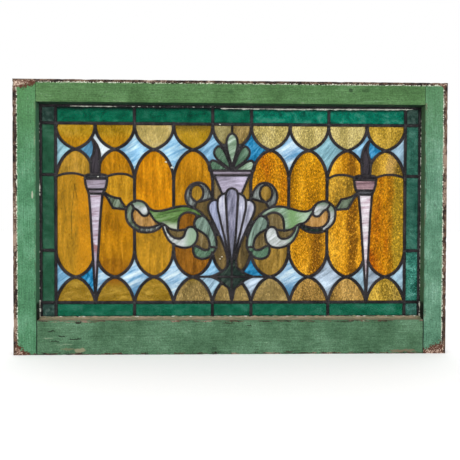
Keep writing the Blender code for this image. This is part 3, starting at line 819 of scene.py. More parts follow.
cut(dict(opal, lean=62), whiteStreaks="6ca7ce b9d9f0 f0ffff")
cut(dict(opal, lean=56), lilacWhite="8a99a8 b8cada deeeff")
cut(dict(opal, lean=20), white="cddee3 e5f4fc fdffff")
cut(mauveOpal, lavender="7b829c a7aec8 d1d5f4", lavenderPale="9292a2 c4c5d9 f4f7ff",
    lavenderDeep="5c5e72 89899e b8b6ce")
cut(dict(mauveOpal, lean=84), shaftRose="9c808c cabccc eae6f4", shaftWhite="bb9faa dfd4dc fefcff")
cut(dict(mauveOpal, lean=88), cupGrey="80747e a89caa c6c0d0", mauve="765c64 b6959c e4c2c8")
cut(dict(mauveOpal, lean=90), mauveDark="38383c 5a5a5f 8c8c92")
cut(dict(mauveOpal, lean=82), urnGrey="8c8696 b6aec1 d6cee4")
cut(dict(leafOpal, lean=74), leaf="4e683c 6a924e 94b07e")
cut(dict(leafOpal, lean=62), leafPale="6a866a 9eb89f def0e1")
cut(dict(leafOpal, lean=20), leafMist="566a5e 7c9386 a8c3b4", leafGrey="424e3c 6a7864 98a892")
cut(dict(leafOpal, lean=50), leafWhite="96a096 cdd3d2 ecf0f4")
cut(dict(leafOpal, lean=30), leafDark="3e5c48 5e7f67 809e88")
cut(dict(leafOpal, lean=10), ringBand="424846 787e7a b6c0c0")
cut(leafOpal, star="12201d 283832 506256")

# Broad fades across a pane: along which axis, from where to where, and to which tint.
fades = {
    "oliveRight": (("x", 0.48, 0.62, "a06c0c"), ("x", 0.62, 0.8, "a48622"),),
    "oliveEdge": (("x", 0.45, 0.75, "9e8438"),),
    "bronzeRight": (("x", 0.45, 0.6, "c49e54"), ("x", 0.66, 0.86, "765e1e"),),
    # Painted shade: a dark upright band for shadow seen through the glass, with a lighter amber beyond it.
    "brownBand": (("x", 0.52, 0.66, "88580c"), ("x", 0.78, 0.92, "d4961e"),),
    "brownLow": (("z", 0.3, 0.02, "925e0c"),),
    "dullTop": (("z", 0.6, 1.0, "7e6822"),),
    "brownTop": (("z", 0.55, 1.0, "8e5c0e"),),
    "orangeFoot": (("z", 0.7, 0.34, "b88614"),),
    "orangeRight": (("x", 0.4, 0.7, "c68a18"),),
    "whiteLow": (("z", 0.4, 0.16, "c4ccba"),),
    "greenRight": (("x", 0.55, 0.85, "9eb89e"),),
    "greenMiddle": (("x", 0.4, 0.62, "84aa74"), ("x", 0.66, 0.86, "bad2b8"),),
    "greenTop": (("z", 0.5, 0.85, "8ca08c"),),
    "blueLow": (("z", 0.45, 0.15, "689ec4"),),
    "greyFoot": (("z", 0.3, 0.1, "808292"),),
    # Painted shadow: the top border panes darken towards the top, for the shade of the top rail over them.
    "shadeTop": (("z", 0.68, 0.95, "04221c"),),
    "rustMiddle": (("z", 0.52, 0.46, "a67878"), ("z", 0.42, 0.34, "b8acbe"),),
}

# A mark inside each pane, in the drawing's millimetres from the middle, with its sheet and fade. The
# right half has its own choice where it differs.
middlePanes = {
    "border_top_middle": (0, 393, "borderTop shadeTop"),
    "border_bottom_middle": (0, -13, "border"),
    "urn_bowl": (0, 255, "urnGrey"),
    "urn_rim": (0, 274, "cupGrey"),
    "fan_middle": (0, 222, "lavenderDeep greyFoot"),
    "palmette_middle": (0, 338, "leafPale"),
}
halfPanes = {
    "scallop_high_outer": (330, 355, "gold orangeFoot", "goldHammered"),
    "scallop_high_torch": (247.5, 355, "gold orangeFoot", "strawHammered"),
    "scallop_high_scroll": (165, 355, "tan", "strawHammered"),
    "scallop_high_urn": (82.5, 355, "gold dullTop", "strawHammered"),
    "scallop_high_middle": (20, 361, "oliveTan", "duskTan"),
    "scallop_low_outer": (330, 20, "oliveGold", "goldHammered oliveEdge"),
    "scallop_low_torch": (247.5, 20, "oliveGold brownTop", "duskHammered"),
    "scallop_low_scroll": (165, 20, "oliveGold", "duskHammered"),
    "scallop_low_urn": (82.5, 20, "duskTan dullTop", "duskTan"),
    "scallop_low_middle": (19, 16, "duskTan"),
    "arch_outer": (330, 290, "dullGold", "dullGoldHammered bronzeRight"),
    "arch_torch": (247.5, 295, "amberDeep", "bronzeHammered brownBand"),
    "arch_scroll": (165, 270, "amber", "amberHammered"),
    "arch_urn": (90, 290, "amberDeep", "orangeHammered"),
    "long_pane_outer": (340, 180, "oldGold orangeRight", "orangeHammered oliveRight"),
    "pane_over_arrow": (235, 250, "amberBright", "dullGoldHammered"),
    "long_pane_torch": (255, 150, "amberDeep brownLow", "bronzeHammered brownBand"),
    "low_pane_scroll": (165, 110, "oldGold", "bronzeHammered brownBand"),
    "low_pane_urn": (100, 100, "brownAmber", "dullBrown"),
    "border_side_high": (388, 320, "borderDull", "borderSlate"),
    "border_side_middle": (388, 190, "borderDull", "borderSlate"),
    "border_side_low": (388, 55, "borderDull", "borderTeal"),
    "border_top_outer": (290, 393, "borderTop shadeTop", "borderTopTeal shadeTop"),
    "border_top_inner": (120, 393, "borderTop shadeTop", "borderTopTeal shadeTop"),
    "border_bottom_outer": (290, -13, "border"),
    "border_bottom_inner": (120, -13, "border"),
    "corner_high": (387, 393, "corner"),
    "corner_low": (387, -16, "corner", "cornerLow"),
    "point_high_edge": (358, 321, "teal", "paleBlue"),
    "point_high_flame_outer": (304, 322, "blue", "strongBlue"),
    "point_high_flame_inner": (269, 322, "white", "skyDeep"),
    "point_high_torch": (206, 321, "skyStreaks", "teal"),
    "point_high_scroll": (124, 321, "skyStreaks", "whiteStreaks"),
    "point_high_urn": (52, 322, "skyDeep", "strongBlue"),
    "point_low_edge": (359, 52, "skyDeep", "paleBlue"),
    "point_low_shaft_outer": (304, 53, "strongBlue", "lilacWhite"),
    "point_low_shaft_inner": (273, 53, "whiteStreaks", "paleBlue"),
    "point_low_torch": (206, 52, "whiteStreaks blueLow", "lilacWhite"),
    "point_low_scroll": (124, 52, "whiteStreaks", "whiteStreaks blueLow"),
    "point_low_star_upper": (42, 70, "skyDeep", "strongBlue"),
    "point_low_star_lower": (42, 39, "paleBlue", "lilacWhite"),
    "flame": (288, 288, "flame"),
    "torch_rim": (286, 265, "mauveDark", "flame"),
    "torch_cup": (285, 250, "cupGrey", "mauve"),
    "torch_collar": (288, 234, "cupGrey", "mauveDark"),
    "torch_shaft": (287, 212, "shaftRose rustMiddle", "shaftWhite"),
    "arrow_leaf": (242, 209, "leafGrey"),
    "scroll_band_outer": (215, 194, "leafGrey", "leafWhite greenTop"),
    "scroll_band_low": (183, 153.5, "ringBand", "star"),
    "scroll_comma": (188, 199, "leafWhite greenTop"),
    "scroll_heart": (180, 171, "orangeOpal"),
    "acanthus": (133, 180, "leaf whiteLow", "leafPale greenMiddle"),
    "acanthus_eye": (93, 175, "brownAmber", "brown"),
    "hook_comma": (89, 134, "leafWhite greenRight"),
    "hook_heart": (111, 144, "brown"),
    "side_leaf": (62, 166, "leafMist"),
    "side_leaf_eye": (61, 127, "brown"),
    "side_leaf_hook": (65, 103, "leafDark"),
    "ring_eye": (74, 232, "dullGold", "dullBrown"),
    "ring_band_outer": (86, 212, "ringBand"),
    "ring_band_inner": (52, 227, "ringBand"),
    "ring_foot": (62, 203, "darkBrown"),
    "urn_side": (31, 232, "brown", "dullBrown"),
    "fan_petal_outer": (40, 202, "lavender greyFoot", "lavenderPale greyFoot"),
    "fan_petal_inner": (22, 205, "lavenderPale greyFoot"),
    "fan_foot_side": (25, 102, "darkBrown"),
    "palmette_leaf": (26, 314, "leafDark"),
    "palmette_low": (36, 288, "leafDark", "leafPale"),
    "star_upper": (9.5, 64, "star"),
    "star_lower": (10, 45, "star"),
}
# Hairline cracks: x and z at the top, then at the foot.
cracks = {
    "long_pane_outer_left": ((-0.3355, 0.3607, -0.343, 0.2946), (-0.343, 0.2946, -0.3419, 0.2413),
                             (-0.3355, 0.3607, -0.3305, 0.326)),
}
glass = {
    "lap": 0.0011,               # how far a pane runs under the flange
    "play": 0.00005,             # gap to the flange
    "grid": 0.0045,              # spacing of the points that carry the waves
    "wave": 0.00022,
    "waveLength": 0.03,
    "ripple": 0.009,
    "driftLength": 0.05,
    "thickness": 0.02,           # length of the streaks through the sheet
    "crackTint": 0.7,
    "crackWander": 0.0015,
    "rimWidth": 0.0028,          # dirt and putty along the came, and the painted shade that the cames cast
}


def glassFinish(name, sheetName, fadeName, seed):
    sheet = sheets[sheetName]
    mottling = sheet["mottle"]
    finish = Finish(name.replace("_", " ") + " glass")
    start = (seed * 0.137 % 1.0, seed * 0.071 % 1.0, seed * 0.213 % 1.0)
    size = (sheet["across"], glass["thickness"], sheet["along"])
    streaks = finish.clouds(1.0, 4, 0.6, 0.5, finish.scaled(size, sheet["lean"], start))
    shades = [tint(shade) for shade in sheet["tints"].split()]
    colour = finish.ramp(streaks, sheet["calm"], shades)
    drift = finish.clouds(glass["driftLength"], 2, at=finish.scaled((1, 1, 1), 0, start))
    spread = finish.node("ShaderNodeTexCoord", output="Generated")
    for axis, begin, end, shade in fades.get(fadeName, ()):
        share = finish.axis(spread, axis.upper()) + (drift - 0.5) * 0.35 + (streaks - 0.5) * 0.3
        mask = finish.step(share, begin, end) if begin < end else 1 - finish.step(share, end, begin)
        colour = finish.mix(mask, colour, tint(shade))
    waves = finish.clouds(glass["ripple"], 2)
    mottle = finish.clouds(1.0, 2, 0.6, at=finish.scaled(sheet["speck"], 4, start))
    # Painted glints: where the small mottling peaks, the colour turns towards the sheet's lightest tint.
    colour = finish.mix(finish.step(mottle, 0.58, 0.72) * (0.32 * mottling), colour, shades[-1])
    light = (drift - 0.5) * 0.7 + (mottle - 0.5) * (1.5 * mottling) + 1
    # Painted shade and dirt: each pane darkens towards its cames.
    rim = finish.node("ShaderNodeAttribute", {"attribute_name": "rim"}, output="Fac")
    colour = finish.dimmed(colour, light * (finish.step(rim, -0.3, 1.0) * 0.3 + 0.7))
    for topX, topZ, footX, footZ in cracks.get(name, ()):
        x, z = finish.axis(finish.place, "X"), finish.axis(finish.place, "Z")
        slant = (topX - footX) / (topZ - footZ)
        off = abs(x - footX - (z - footZ) * slant + (mottle - 0.5) * glass["crackWander"])
        within = finish.step(z, footZ - 0.001, footZ + 0.002)
        within = within * (1 - finish.step(z, topZ - 0.002, topZ + 0.001))
        hairline = (1 - finish.step(off, 0.0003, 0.0009)) * within
        colour = finish.mix(hairline * glass["crackTint"], colour, tint("462c0c"))
    normal = finish.bump(waves + mottle * (0.45 * mottling), 0.0012, 0.5)
    finish.shade(colour=colour, rough=sheet["rough"], clear=sheet["clear"], normal=normal)
    finish.shade(bend=1.16, shine=0.2)
    return finish


def paneMesh(name, seen, finish):
    # A pane with gentle waves in both faces. Its rim lies under the flanges.
    outline = grown(seen, glass["lap"])
    low = Vector((min(p.x for p in outline), min(p.y for p in outline)))
    high = Vector((max(p.x for p in outline), max(p.y for p in outline)))
    columns, rows = [int(reach / glass["grid"]) + 1 for reach in high - low]
    places = [low + Vector((column + 0.5 * (row % 2), row)) * glass["grid"]
              for row in range(rows) for column in range(columns)]
    marks = outline + [place for place in places if covers(seen, place)]
    points, (_, triangles, _, _, _) = triangulated(marks, ringOf(list(range(len(outline)))), [], 1e-4)
    kept = [tuple(t) for t in triangles if covers(outline, sum((points[i] for i in t), Vector((0, 0))) / 3)]
    near = np.array([(p.x, p.y) for p in seen])
    ahead = np.roll(near, -1, axis=0) - near
    corners, rim = [], []
    for level in (flanges(-1) + glass["play"], flanges(1) - glass["play"]):
        for p in points:
            share = ((p.x, p.y) - near) * ahead / np.maximum((ahead ** 2).sum(1), 1e-12)[:, None]
            foot = near + ahead * np.clip(share.sum(1), 0, 1)[:, None]
            gap = math.sqrt(((foot - (p.x, p.y)) ** 2).sum(1).min())
            rim.append((gap if covers(seen, p) else -gap) / glass["rimWidth"])
            place = Vector((p.x, level * 9, p.y)) / glass["waveLength"] + Vector((0, len(seen), 0))
            wave = glass["wave"] * noise.noise(place) * min(max(rim[-1], 0), 1)
            corners.append((p.x, level + wave, p.y))
    total = len(points)
    faces = kept + [tuple(i + total for i in reversed(triangle)) for triangle in kept]
    faces += [(b, a, a + total, b + total) for a, b in openEdges(kept)]
    piece = piecePlotted(name, corners, faces, finish)
    piece.data.attributes.new("rim", "FLOAT", "POINT").data.foreach_set("value", rim)
    return piece


orders = {name: (spot(u, v), choice) for name, (u, v, choice) in middlePanes.items()}
for name, (u, v, left, *right) in halfPanes.items():
    orders[name + "_left"] = (spot(-u, v), left)
    orders[name + "_right"] = (laid(spot(u, v)), right[0] if right else left)
seenOutlines = [outline for outline in allOpenings if areaOf(outline) > leading["smallestPane"]]
panes = []
for seed, (name, (mark, choice)) in enumerate(orders.items()):
    outline = next((o for o in seenOutlines if covers(o, mark)), None)
    if outline is None:
        print("no pane at", name)
        continue
    sheetName, _, fadeName = choice.partition(" ")
    finish = glassFinish(name, sheetName, fadeName, seed + 1)
    panes.append((name, paneMesh(name + "_glass", outline, finish), sheets[sheetName]["slot"]))
print(len(panes), "panes of", len(seenOutlines))

# Timbers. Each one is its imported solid, cut finely enough to carry the wear of old joinery.
timber = {
    "cell": 0.0036,              # spacing of the points that carry the relief
    "fine": (0.0005, 0.0012, 0.0022),
    "arris": 0.0007,             # how far every arris is rounded
    "chip": 0.0032,              # what the worst chips add to that
    "chipLength": 0.011,
    "dent": 0.00022,
    "dentLength": 0.016,
    "dentMiddle": 0.3,           # noise below this is a dent
    "chipFrom": 0.18,            # noise above this chips the arris
    "chipGain": 2.2,
    "margin": 0.0085,            # width of the bare strip round the outside, where a stop was
    "topLess": 0.0024,           # the bare strip is narrower by this along the top
    "ridge": 0.0108,             # the paint's broken ridge ends here
}
# Each timber has its greens from dark to light, its bare corners (side, height, reach in, reach up), and
# its knots, cracks and patches (x, z, half width, half height, tint, strength).
paints = {
    "stile_left": {
        "along": "z", "greens": ("386846", "4c825d", "669a78"), "headGreen": "4c7d49", "lipWear": 0.3,
        "revealShadeAndLedge": "487458", "bare": ((-1, 0, 0.036, 0.026), (-1, 1, 0.066, 0.026)),
        "marks": (
            (-0.4243, 0.12, 0.0009, 0.017, "2c503c", 0.6),
            (-0.4165, 0.335, 0.0022, 0.008, "b0b49e", 0.8),
        ),
    },
    "stile_right": {
        "along": "z", "greens": ("3e6a52", "5c8a6f", "80aa94"), "headGreen": "4c7a4e", "lipWear": 0.5,
        "revealShadeAndLedge": "466244", "bare": ((1, 0, 0.09, 0.026), (1, 1, 0.024, 0.018)),
        "marks": (
            # Painted shadow: a near-black streak in the same hollow, low on the right side of the opening.
            (0.408, 0.09, 0.0012, 0.02, "0c0c0a", 1.0),
        ),
    },
    "rail_top": {
        "along": "x", "greens": ("3a5c32", "4b7243", "5e8656"), "bare": (), "seam": (0.001, 0.3),
        "lipWear": 0.1, "revealShadeAndLedge": "223c2c",
        "marks": (
            (-0.0034, 0.5523, 0.0055, 0.0045, "2c4e2a", 0.6),
            (0.2499, 0.559, 0.005, 0.0048, "223a20", 0.75),
            (0.2818, 0.5575, 0.010, 0.004, "284626", 0.5),
            (0.30, 0.535, 0.03, 0.0008, "749c70", 0.6),
            (0.16, 0.5405, 0.05, 0.0007, "70986c", 0.5),
        ),
    },
    "rail_bottom": {
        "along": "x", "greens": ("385a3e", "4e7355", "668c6e"), "bare": (), "seam": (0.0026, 0.95),
        "lipWear": 1.0, "revealShadeAndLedge": "968e74",
        "marks": (
            (-0.378, 0.0497, 0.0095, 0.0016, "1e2a1e", 0.95),
            (-0.372, 0.0285, 0.013, 0.0016, "1e2a1e", 0.95),
            (-0.3285, 0.0338, 0.014, 0.0018, "1a241a", 0.95),
            (-0.3565, 0.04, 0.0105, 0.0015, "1e2a1e", 0.9),
            (-0.385, 0.036, 0.012, 0.0011, "96a88c", 0.6),
            (-0.352, 0.0225, 0.02, 0.0011, "92a68a", 0.5),
            (-0.3187, 0.0095, 0.013, 0.0055, "989276", 0.8),
            (-0.345, 0.012, 0.016, 0.0024, "7a7458", 0.6),
            (-0.0367, 0.0125, 0.0065, 0.004, "2a4432", 0.55),
            (-0.322, 0.0675, 0.0075, 0.0024, "262018", 0.95),
            (-0.0097, 0.0665, 0.013, 0.0015, "2c281c", 0.85),
            (0.0367, 0.0605, 0.007, 0.0013, "28281c", 0.8),
            (0.237, 0.0685, 0.024, 0.0012, "28281c", 0.85),
            (0.12, 0.0045, 0.012, 0.0022, "3c2e24", 0.8),
            (-0.11, 0.0038, 0.014, 0.002, "544436", 0.8),
            (0.365, 0.0065, 0.03, 0.0035, "806c58", 0.7),
        ),
    },
}
beadNodes = ("bead_bottom", "bead_right", "bead_top", "bead_left")


def paintFinish(name, look):
    finish = Finish(name)
    x, y, z = [finish.axis(finish.place, letter) for letter in "XYZ"]
    lengthwise = (0.05, 0.006, 0.0022) if look["along"] == "x" else (0.0022, 0.006, 0.05)
    grain = finish.clouds(1.0, 4, 0.6, at=finish.scaled(lengthwise))
    chipLike = finish.clouds(1.0, 3, 0.6, at=finish.scaled([size * 0.3 + 0.002 for size in lengthwise]))
    blotch = finish.clouds(0.06, 5, 0.65)
    crumbs = finish.clouds(0.012, 5, 0.7)
    flecks = finish.clouds(0.003, 4, 0.75)

    # Paint.
    tone = blotch * 0.55 + grain * 0.25 + crumbs * 0.2
    paint = finish.ramp(tone, 0.14, [tint(green) for green in look["greens"]])
    if look["along"] == "z":
        paint = finish.mix(finish.step(z, 0.34, sashTop) * 0.8, paint, tint(look["headGreen"]))
    scuffs = finish.step(chipLike, 0.62, 0.7) * finish.step(blotch, 0.46, 0.58)
    paint = finish.mix(scuffs * 0.4, paint, tint("8eac8e"))
    splits = finish.step(chipLike, 0.37, 0.31) * finish.step(crumbs, 0.5, 0.6)
    paint = finish.mix(splits * 0.7, paint, tint("203022"))
    paint = finish.dimmed(paint, (flecks - 0.5) * 1.9 + (grain - 0.5) * 0.5 + 1)

    # Bare wood and the cream undercoat.
    bareWood = finish.mix(finish.step(grain * 0.4 + crumbs * 0.6, 0.42, 0.6), tint("241d1b"), tint("705646"))
    sunned = finish.step(flecks * 0.3 + blotch * 0.7, 0.52, 0.6)
    bareWood = finish.mix(sunned * 0.6, bareWood, tint("baa08c"))
    knocked = finish.step(flecks * 0.5 + crumbs * 0.5, 0.5, 0.57)
    cornerWood = finish.mix(knocked, tint("583628"), tint("d4baa6"))
    undercoat = finish.mix(finish.step(flecks, 0.4, 0.62), tint("beb8a0"), tint("e4ead8"))

    # How far a point is from the sash's outside and from the opening.
    side = halfWidth - abs(x)
    outside = side.least((sashTop + timber["topLess"]) - z)
    inside = (abs(x) - openingHalf).most((z - openingTop).most(openingLow - z))
    ragged = (crumbs - 0.5) * 0.011 + (flecks - 0.5) * 0.005
    back = finish.step(y, backY - 0.002, backY - 0.0005)
    edge = outside + ragged

    stripped = 1 - finish.step(edge, timber["margin"] - 0.0007, timber["margin"] + 0.0003)
    corner = 0.0
    for way, height, reachIn, reachUp in look["bare"]:
        rise = (sashTop - z) if height else z
        gap = (halfWidth - x * way) * (1 / reachIn) + rise * (1 / reachUp) + ragged * 190
        corner = (1 - finish.step(gap, 0.95, 1.05)).most(corner)
    stripped = stripped.most(corner)
    foot = (1 - finish.step(z + ragged * 0.7, 0.0035, 0.0045)) * finish.step(chipLike, 0.5, 0.54)
    lip = (1 - finish.step(inside + ragged * 0.5, 0.0032, 0.0042)) * finish.step(chipLike, 0.52, 0.56)
    stripped = stripped.most(foot).most(lip * look["lipWear"]).most(back * finish.step(blotch, 0.55, 0.59))
    stripped = stripped.most(1 - finish.step(z, 0.0002, 0.0006))
    broken = finish.step(flecks * 0.5 + crumbs * 0.5, 0.48, 0.53)
    ridge = (1 - finish.step(edge, timber["ridge"] - 0.0006, timber["ridge"])) * (1 - stripped)
    creamy = ridge * broken
    colour = finish.mix(creamy, paint, undercoat)
    colour = finish.mix(stripped, colour, bareWood)
    colour = finish.mix(corner * finish.step(edge, 0.004, 0.0062), colour, cornerWood)
    smear = finish.step(crumbs * 0.4 + flecks * 0.6, 0.6, 0.65) * stripped
    colour = finish.mix(smear * 0.65, colour, undercoat)

    # Dirt in the joints, darker patches along the opening's edge, and painted shade on the sides of the
    # opening, where the bottom rail's ledge gets its own worn tan instead.
    if look["along"] == "x":
        width, strength = look["seam"]
        joint = 1 - finish.step(openingHalf - abs(x) + ragged * 0.12, width * 0.6, width)
        joint = joint * (1 - finish.step(abs(x), openingHalf, openingHalf + 0.001))
        colour = finish.mix(joint * strength, colour, tint("141712"))
    # Darker in patches within a few millimetres of the opening's edge.
    openingEdgeDark = (1 - finish.step(inside + ragged * 0.5, 0.0, 0.004)) * finish.step(flecks, 0.45, 0.6) * 0.3
    colour = finish.mix(openingEdgeDark, colour, tint("323a2c"))
    # Painted shade: the sides of the opening take the timber's darker tint in patches; on the bottom rail it
    # is the ledge's own tan.
    deepIn = finish.step(y, frontY + 0.0005, frontY + 0.003) * (1 - finish.step(inside, 0.0001, 0.0006))
    revealPatches = finish.step(crumbs * 0.6 + flecks * 0.4, 0.3, 0.46)
    colour = finish.mix(deepIn * revealPatches, colour, tint(look["revealShadeAndLedge"]))
    behind = finish.step(y, 0, 0.002)
    for across, height, halfWide, halfHigh, shade, strength in look["marks"]:
        wide = (x - across + (flecks - 0.5) * 0.004) * (1 / halfWide)
        high = (z - height + (crumbs - 0.5) * 0.012) * (1 / halfHigh)
        mark = 1 - finish.step(wide * wide + high * high + (flecks - 0.5), 0.5, 1.1)
        colour = finish.mix(mark * (1 - behind) * strength, colour, tint(shade))
    if look["along"] == "z":
        # Painted shadow: near black low on each stile's side of the opening, where a hollow lies.
        hollowShadow = finish.step(z, 0.066, 0.074) * (1 - finish.step(z + ragged, 0.106, 0.112)) * deepIn
        colour = finish.mix(hollowShadow * 0.9, colour, tint("0e0d0b"))
    rough = stripped * 0.25 + creamy * 0.1 + flecks * 0.3 + 0.38
    relief = (1 - stripped) * 0.5 + creamy * -0.15 + grain * 0.3 + crumbs * 0.5 + flecks * 0.35
    finish.shade(colour=colour, rough=rough, shine=0.16, normal=finish.bump(relief, 0.0014, 0.85))
    return finish


def cutMarks(low, high):
    # Where a timber is cut across: close together at its two ends, evenly between them.
    marks = [low + gap for gap in timber["fine"]] + [high - gap for gap in timber["fine"]]
    first = low + timber["fine"][-1]
    length = high - low - 2 * timber["fine"][-1]
    count = max(1, round(length / timber["cell"]))
    return marks + [first + length * (i + 0.5) / count for i in range(count)]


def wornTimber(name, node, finish, seed):
    form = bmesh.new()
    form.from_mesh(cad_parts[node].data)
    bmesh.ops.remove_doubles(form, verts=form.verts, dist=1e-6)
    bmesh.ops.dissolve_limit(form, angle_limit=0.01, verts=form.verts, edges=form.edges)
    low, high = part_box(node)
    for axis in (1, 2, 0) if high.x - low.x > high.z - low.z else (1, 0, 2):
        way = Vector([1.0 if axis == n else 0.0 for n in range(3)])
        for mark in cutMarks(low[axis], high[axis]):
            parts = form.verts[:] + form.edges[:] + form.faces[:]
            bmesh.ops.bisect_plane(form, geom=parts, dist=1e-6, plane_co=way * mark, plane_no=way)
    form.normal_update()
    start = Vector((seed * 3.1, seed * 1.7, seed * 2.3))
    moved = []
    for corner in form.verts:
        place = corner.co
        chipped = max(noise.noise(place / timber["chipLength"] + start) - timber["chipFrom"], 0)
        radius = timber["arris"] + timber["chip"] * min(chipped * timber["chipGain"], 1)
        core = Vector([min(max(c, l + radius), h - radius) for c, l, h in zip(place, low, high)])
        away = place - core
        if away.length > radius:
            place = core + away * (radius / away.length)
        dent = noise.noise(corner.co / timber["dentLength"] + start) - timber["dentMiddle"]
        moved.append(place + corner.normal * (timber["dent"] * dent))
    for corner, place in zip(form.verts, moved):
        corner.co = place
    return pieceFormed(name, form, finish, 50)


timbers = []
for seed, (node, look) in enumerate(paints.items()):
    finish = paintFinish(node.replace("_", " ") + " paint", look)
    timbers.append((node, wornTimber("worn_" + node, node, finish, seed + 1)))
beadFinish = paintFinish("glazing bead paint", paints["rail_top"])
for node in beadNodes:
    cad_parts[node].material_slots[0].material = beadFinish.material
print(len(timbers), "timbers")


# Putty. A worn bed of it slopes from the panel to the ledge, and crumbs are left round the panel in
# runs: (start, end, how many, size, how stretched).
putty = {
    "runs": (
        ((-0.40, openingLow + 0.0035), (0.40, openingLow + 0.0035), 70, 0.0013, 2.4),
        ((-openingHalf, 0.075), (-openingHalf, 0.112), 12, 0.0021, 1.6),
        ((openingHalf, 0.078), (openingHalf, 0.108), 10, 0.0018, 1.6),
        ((-openingHalf, 0.335), (-openingHalf, 0.36), 7, 0.0018, 1.6),
        ((-openingHalf, 0.12), (-openingHalf, 0.5), 26, 0.0008, 2.0),
        ((openingHalf, 0.12), (openingHalf, 0.5), 60, 0.0008, 4.0),
        ((-0.345, openingTop - 0.0034), (-0.25, openingTop - 0.0034), 26, 0.0014, 3.6),
        ((-0.25, openingTop - 0.0034), (-0.03, openingTop - 0.0034), 14, 0.0009, 3.0),
        ((-0.02, openingTop - 0.0058), (0.16, openingTop - 0.0062), 74, 0.0018, 3.6),
        ((0.16, openingTop - 0.0058), (0.39, openingTop - 0.0045), 84, 0.0018, 3.6),
    ),
    # Single specks on the leading: (x, z, size). The last two, near the fan's foot, are white lumps that
    # stand for glints, painted highlights.
    "specks": (
        (-0.1414, 0.4066, 0.0022), (-0.1286, 0.3949, 0.0026), (-0.0262, 0.488, 0.0015),
        (-0.2858, 0.3749, 0.0016), (-0.0212, 0.2045, 0.0014), (-0.0255, 0.2, 0.0011),
    ),
    # The bed's section, as shares of its depth and rise from the panel down to the ledge.
    "slope": ((0.0, 1.0), (0.16, 0.86), (0.42, 0.5), (0.72, 0.2), (1.0, 0.02)),
    "bedRise": 0.0046,
    "bedDepth": 0.0085,
    "bedStep": 0.0022,
    # How uneven the bed's rise, depth and face are: (share or size, length).
    "riseSway": (0.5, 0.009),
    "depthSway": (0.7, 0.014),
    "lumps": (0.0005, 0.004),
    "smallest": 0.35,            # share of a run's size that every crumb has
    "spread": 0.9,
    "roughness": 0.45,
    "seed": 11,
}


def beddingFinish():
    finish = Finish("Painted putty bed")
    patches = finish.clouds(1.0, 4, 0.65, at=finish.scaled((0.02, 0.006, 0.005)))
    grit = finish.clouds(0.0022, 4, 0.7)
    colour = finish.mix(finish.step(patches, 0.4, 0.6), tint("7a7e60"), tint("a49278"))
    colour = finish.mix(finish.step(grit, 0.6, 0.68) * 0.8, colour, tint("d4d0be"))
    colour = finish.mix(finish.step(grit, 0.4, 0.34) * 0.7, colour, tint("423c2e"))
    finish.shade(colour=colour, rough=0.85, shine=0.2, normal=finish.bump(grit, 0.0008, 0.8))
    return finish


def sway(kind, x, second, third):
    size, length = putty[kind]
    return size * noise.noise(Vector((x / length, second, third)))


def puttyBed():
    corners, faces = [], []
    count = round(2 * openingHalf / putty["bedStep"])
    for n in range(count + 1):
        x = -openingHalf + 2 * openingHalf * n / count
        rise = putty["bedRise"] * (1 + sway("riseSway", x, 3, 1))
        depth = putty["bedDepth"] * (1 + sway("depthSway", x, 9, 4))
        for share, high in putty["slope"]:
            lump = sway("lumps", x, share * 3, 2)
            corners.append((x, cameFront - depth * share - lump, openingLow + rise * high + lump * share))
        corners.append((x, cameFront, openingLow))
    size = len(putty["slope"]) + 1
    for low in range(0, count * size, size):
        faces += [(i, j, j + size, i + size) for i, j in ringOf(list(range(low, low + size)))]
    faces.append(tuple(range(size))[::-1])
    faces.append(tuple(count * size + i for i in range(size)))
    return piecePlotted("putty_bed", corners, faces, beddingFinish(), 60)


def puttyFinish():
    finish = Finish("Dry putty")
    grit = finish.clouds(0.0016, 3, 0.7)
    colour = finish.mix(finish.step(grit, 0.4, 0.62), tint("b0ae9e"), tint("f0f2e8"))
    finish.shade(colour=colour, rough=0.85, shine=0.2, normal=finish.bump(grit, 0.0004, 0.8))
    return finish


def puttyLump(form, chance, place, along, inward, size, stretch):
    # One crumb at a place in the panel's plane, longer along the came and set a little inwards.
    corners = bmesh.ops.create_icosphere(form, subdivisions=2, radius=1.0)["verts"]
    twist = Vector((chance.random(), chance.random(), chance.random())) * 9
    for corner in corners:
        bulge = 1 + putty["roughness"] * noise.noise(corner.co * 1.3 + twist)
        local = corner.co * bulge * size
        flat = place + along * (local.x * stretch) + inward * (local.z * 0.8 + size * 0.4)
        corner.co = (flat.x, cameFront - size * 0.35 + local.y * 0.8, flat.y)


def puttyCrumbs():
    form = bmesh.new()
    chance = random.Random(putty["seed"])
    for start, end, count, size, stretch in putty["runs"]:
        start, end = Vector(start), Vector(end)
        along = (end - start).normalized()
        inward = Vector((-math.copysign(1, start.x), 0))
        if abs(along.x) > 0.5:
            inward = Vector((0, math.copysign(1, (openingLow + openingTop) / 2 - start.y)))
        for n in range(count):
            place = start.lerp(end, (n + chance.random()) / count)
            crumb = size * (putty["smallest"] + putty["spread"] * chance.random() ** 2)
            puttyLump(form, chance, place, along, inward, crumb, stretch)
    for x, z, size in putty["specks"]:
        puttyLump(form, chance, Vector((x, z)), Vector((1, 0)), Vector((0, 1)), size, 1.2)
    return pieceFormed("putty_crumbs", form, puttyFinish(), 180)


crumbs = puttyCrumbs()
bed = puttyBed()
print("putty laid")

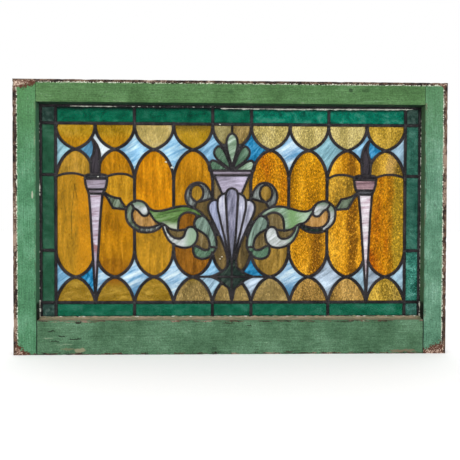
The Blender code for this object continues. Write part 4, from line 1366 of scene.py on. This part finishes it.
# Everything rides on the one body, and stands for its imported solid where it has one.
for piece in (cames, solder, webs, crumbs, bed):
    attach(piece, "root")
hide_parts("lead_came_net")
for node, piece in timbers:
    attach(piece, "root")
    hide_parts(node)
for name, piece, slot in panes:
    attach(piece, "root")
    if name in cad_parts:
        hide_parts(name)

# Floor, light and camera.
studio = {
    "sky": 1.0,
    "keyPlace": (-0.5, -1.7, 1.9),
    "keySize": 1.1,
    "keyPower": 12.0,
    "floorSize": 24.0,
    "floorGlow": 0.14,
    "cameraPlace": (-0.0336, -1.0698, 0.2802),
    "cameraTurn": (0.94, 0.14, 1.57),    # rotation vector in degrees
    "lens": 39.13,
}


def floorPiece():
    half = studio["floorSize"] / 2
    finish = Finish("Pale floor")
    finish.shade(colour=(0.93, 0.93, 0.93, 1.0), rough=0.9, shine=0.1, glow=(1, 1, 1, 1),
                 glowStrength=studio["floorGlow"])
    corners = [(-half, -half, 0), (half, -half, 0), (half, half, 0), (-half, half, 0)]
    return piecePlotted("floor", corners, [(0, 1, 2, 3)], finish)


floorPiece()
world = bpy.data.worlds.new("Studio")
world.use_nodes = True
world.node_tree.nodes["Background"].inputs["Strength"].default_value = studio["sky"]
world.node_tree.nodes["Background"].inputs["Color"].default_value = (1, 1, 1, 1)
scene = bpy.context.scene
scene.world = world
scene.view_settings.view_transform = "Standard"

key = bpy.data.objects.new("key_light", bpy.data.lights.new("key_light", "AREA"))
key.data.size = studio["keySize"]
key.data.energy = studio["keyPower"]
key.location = studio["keyPlace"]
key.rotation_euler = (Vector((0, 0, 0.3)) - key.location).to_track_quat("-Z", "Y").to_euler()
key.visible_camera = False
scene.collection.objects.link(key)

camera = bpy.data.objects.new("camera", bpy.data.cameras.new("camera"))
camera.data.lens = studio["lens"]
camera.data.clip_start = 0.01
turn = Vector([math.radians(angle) for angle in studio["cameraTurn"]])
seenFrom = Matrix.Rotation(turn.length, 3, turn).transposed() @ Matrix(((1, 0, 0), (0, 0, -1), (0, 1, 0)))
camera.matrix_world = Matrix.Translation(studio["cameraPlace"]) @ seenFrom.to_4x4()
scene.collection.objects.link(camera)
scene.camera = camera
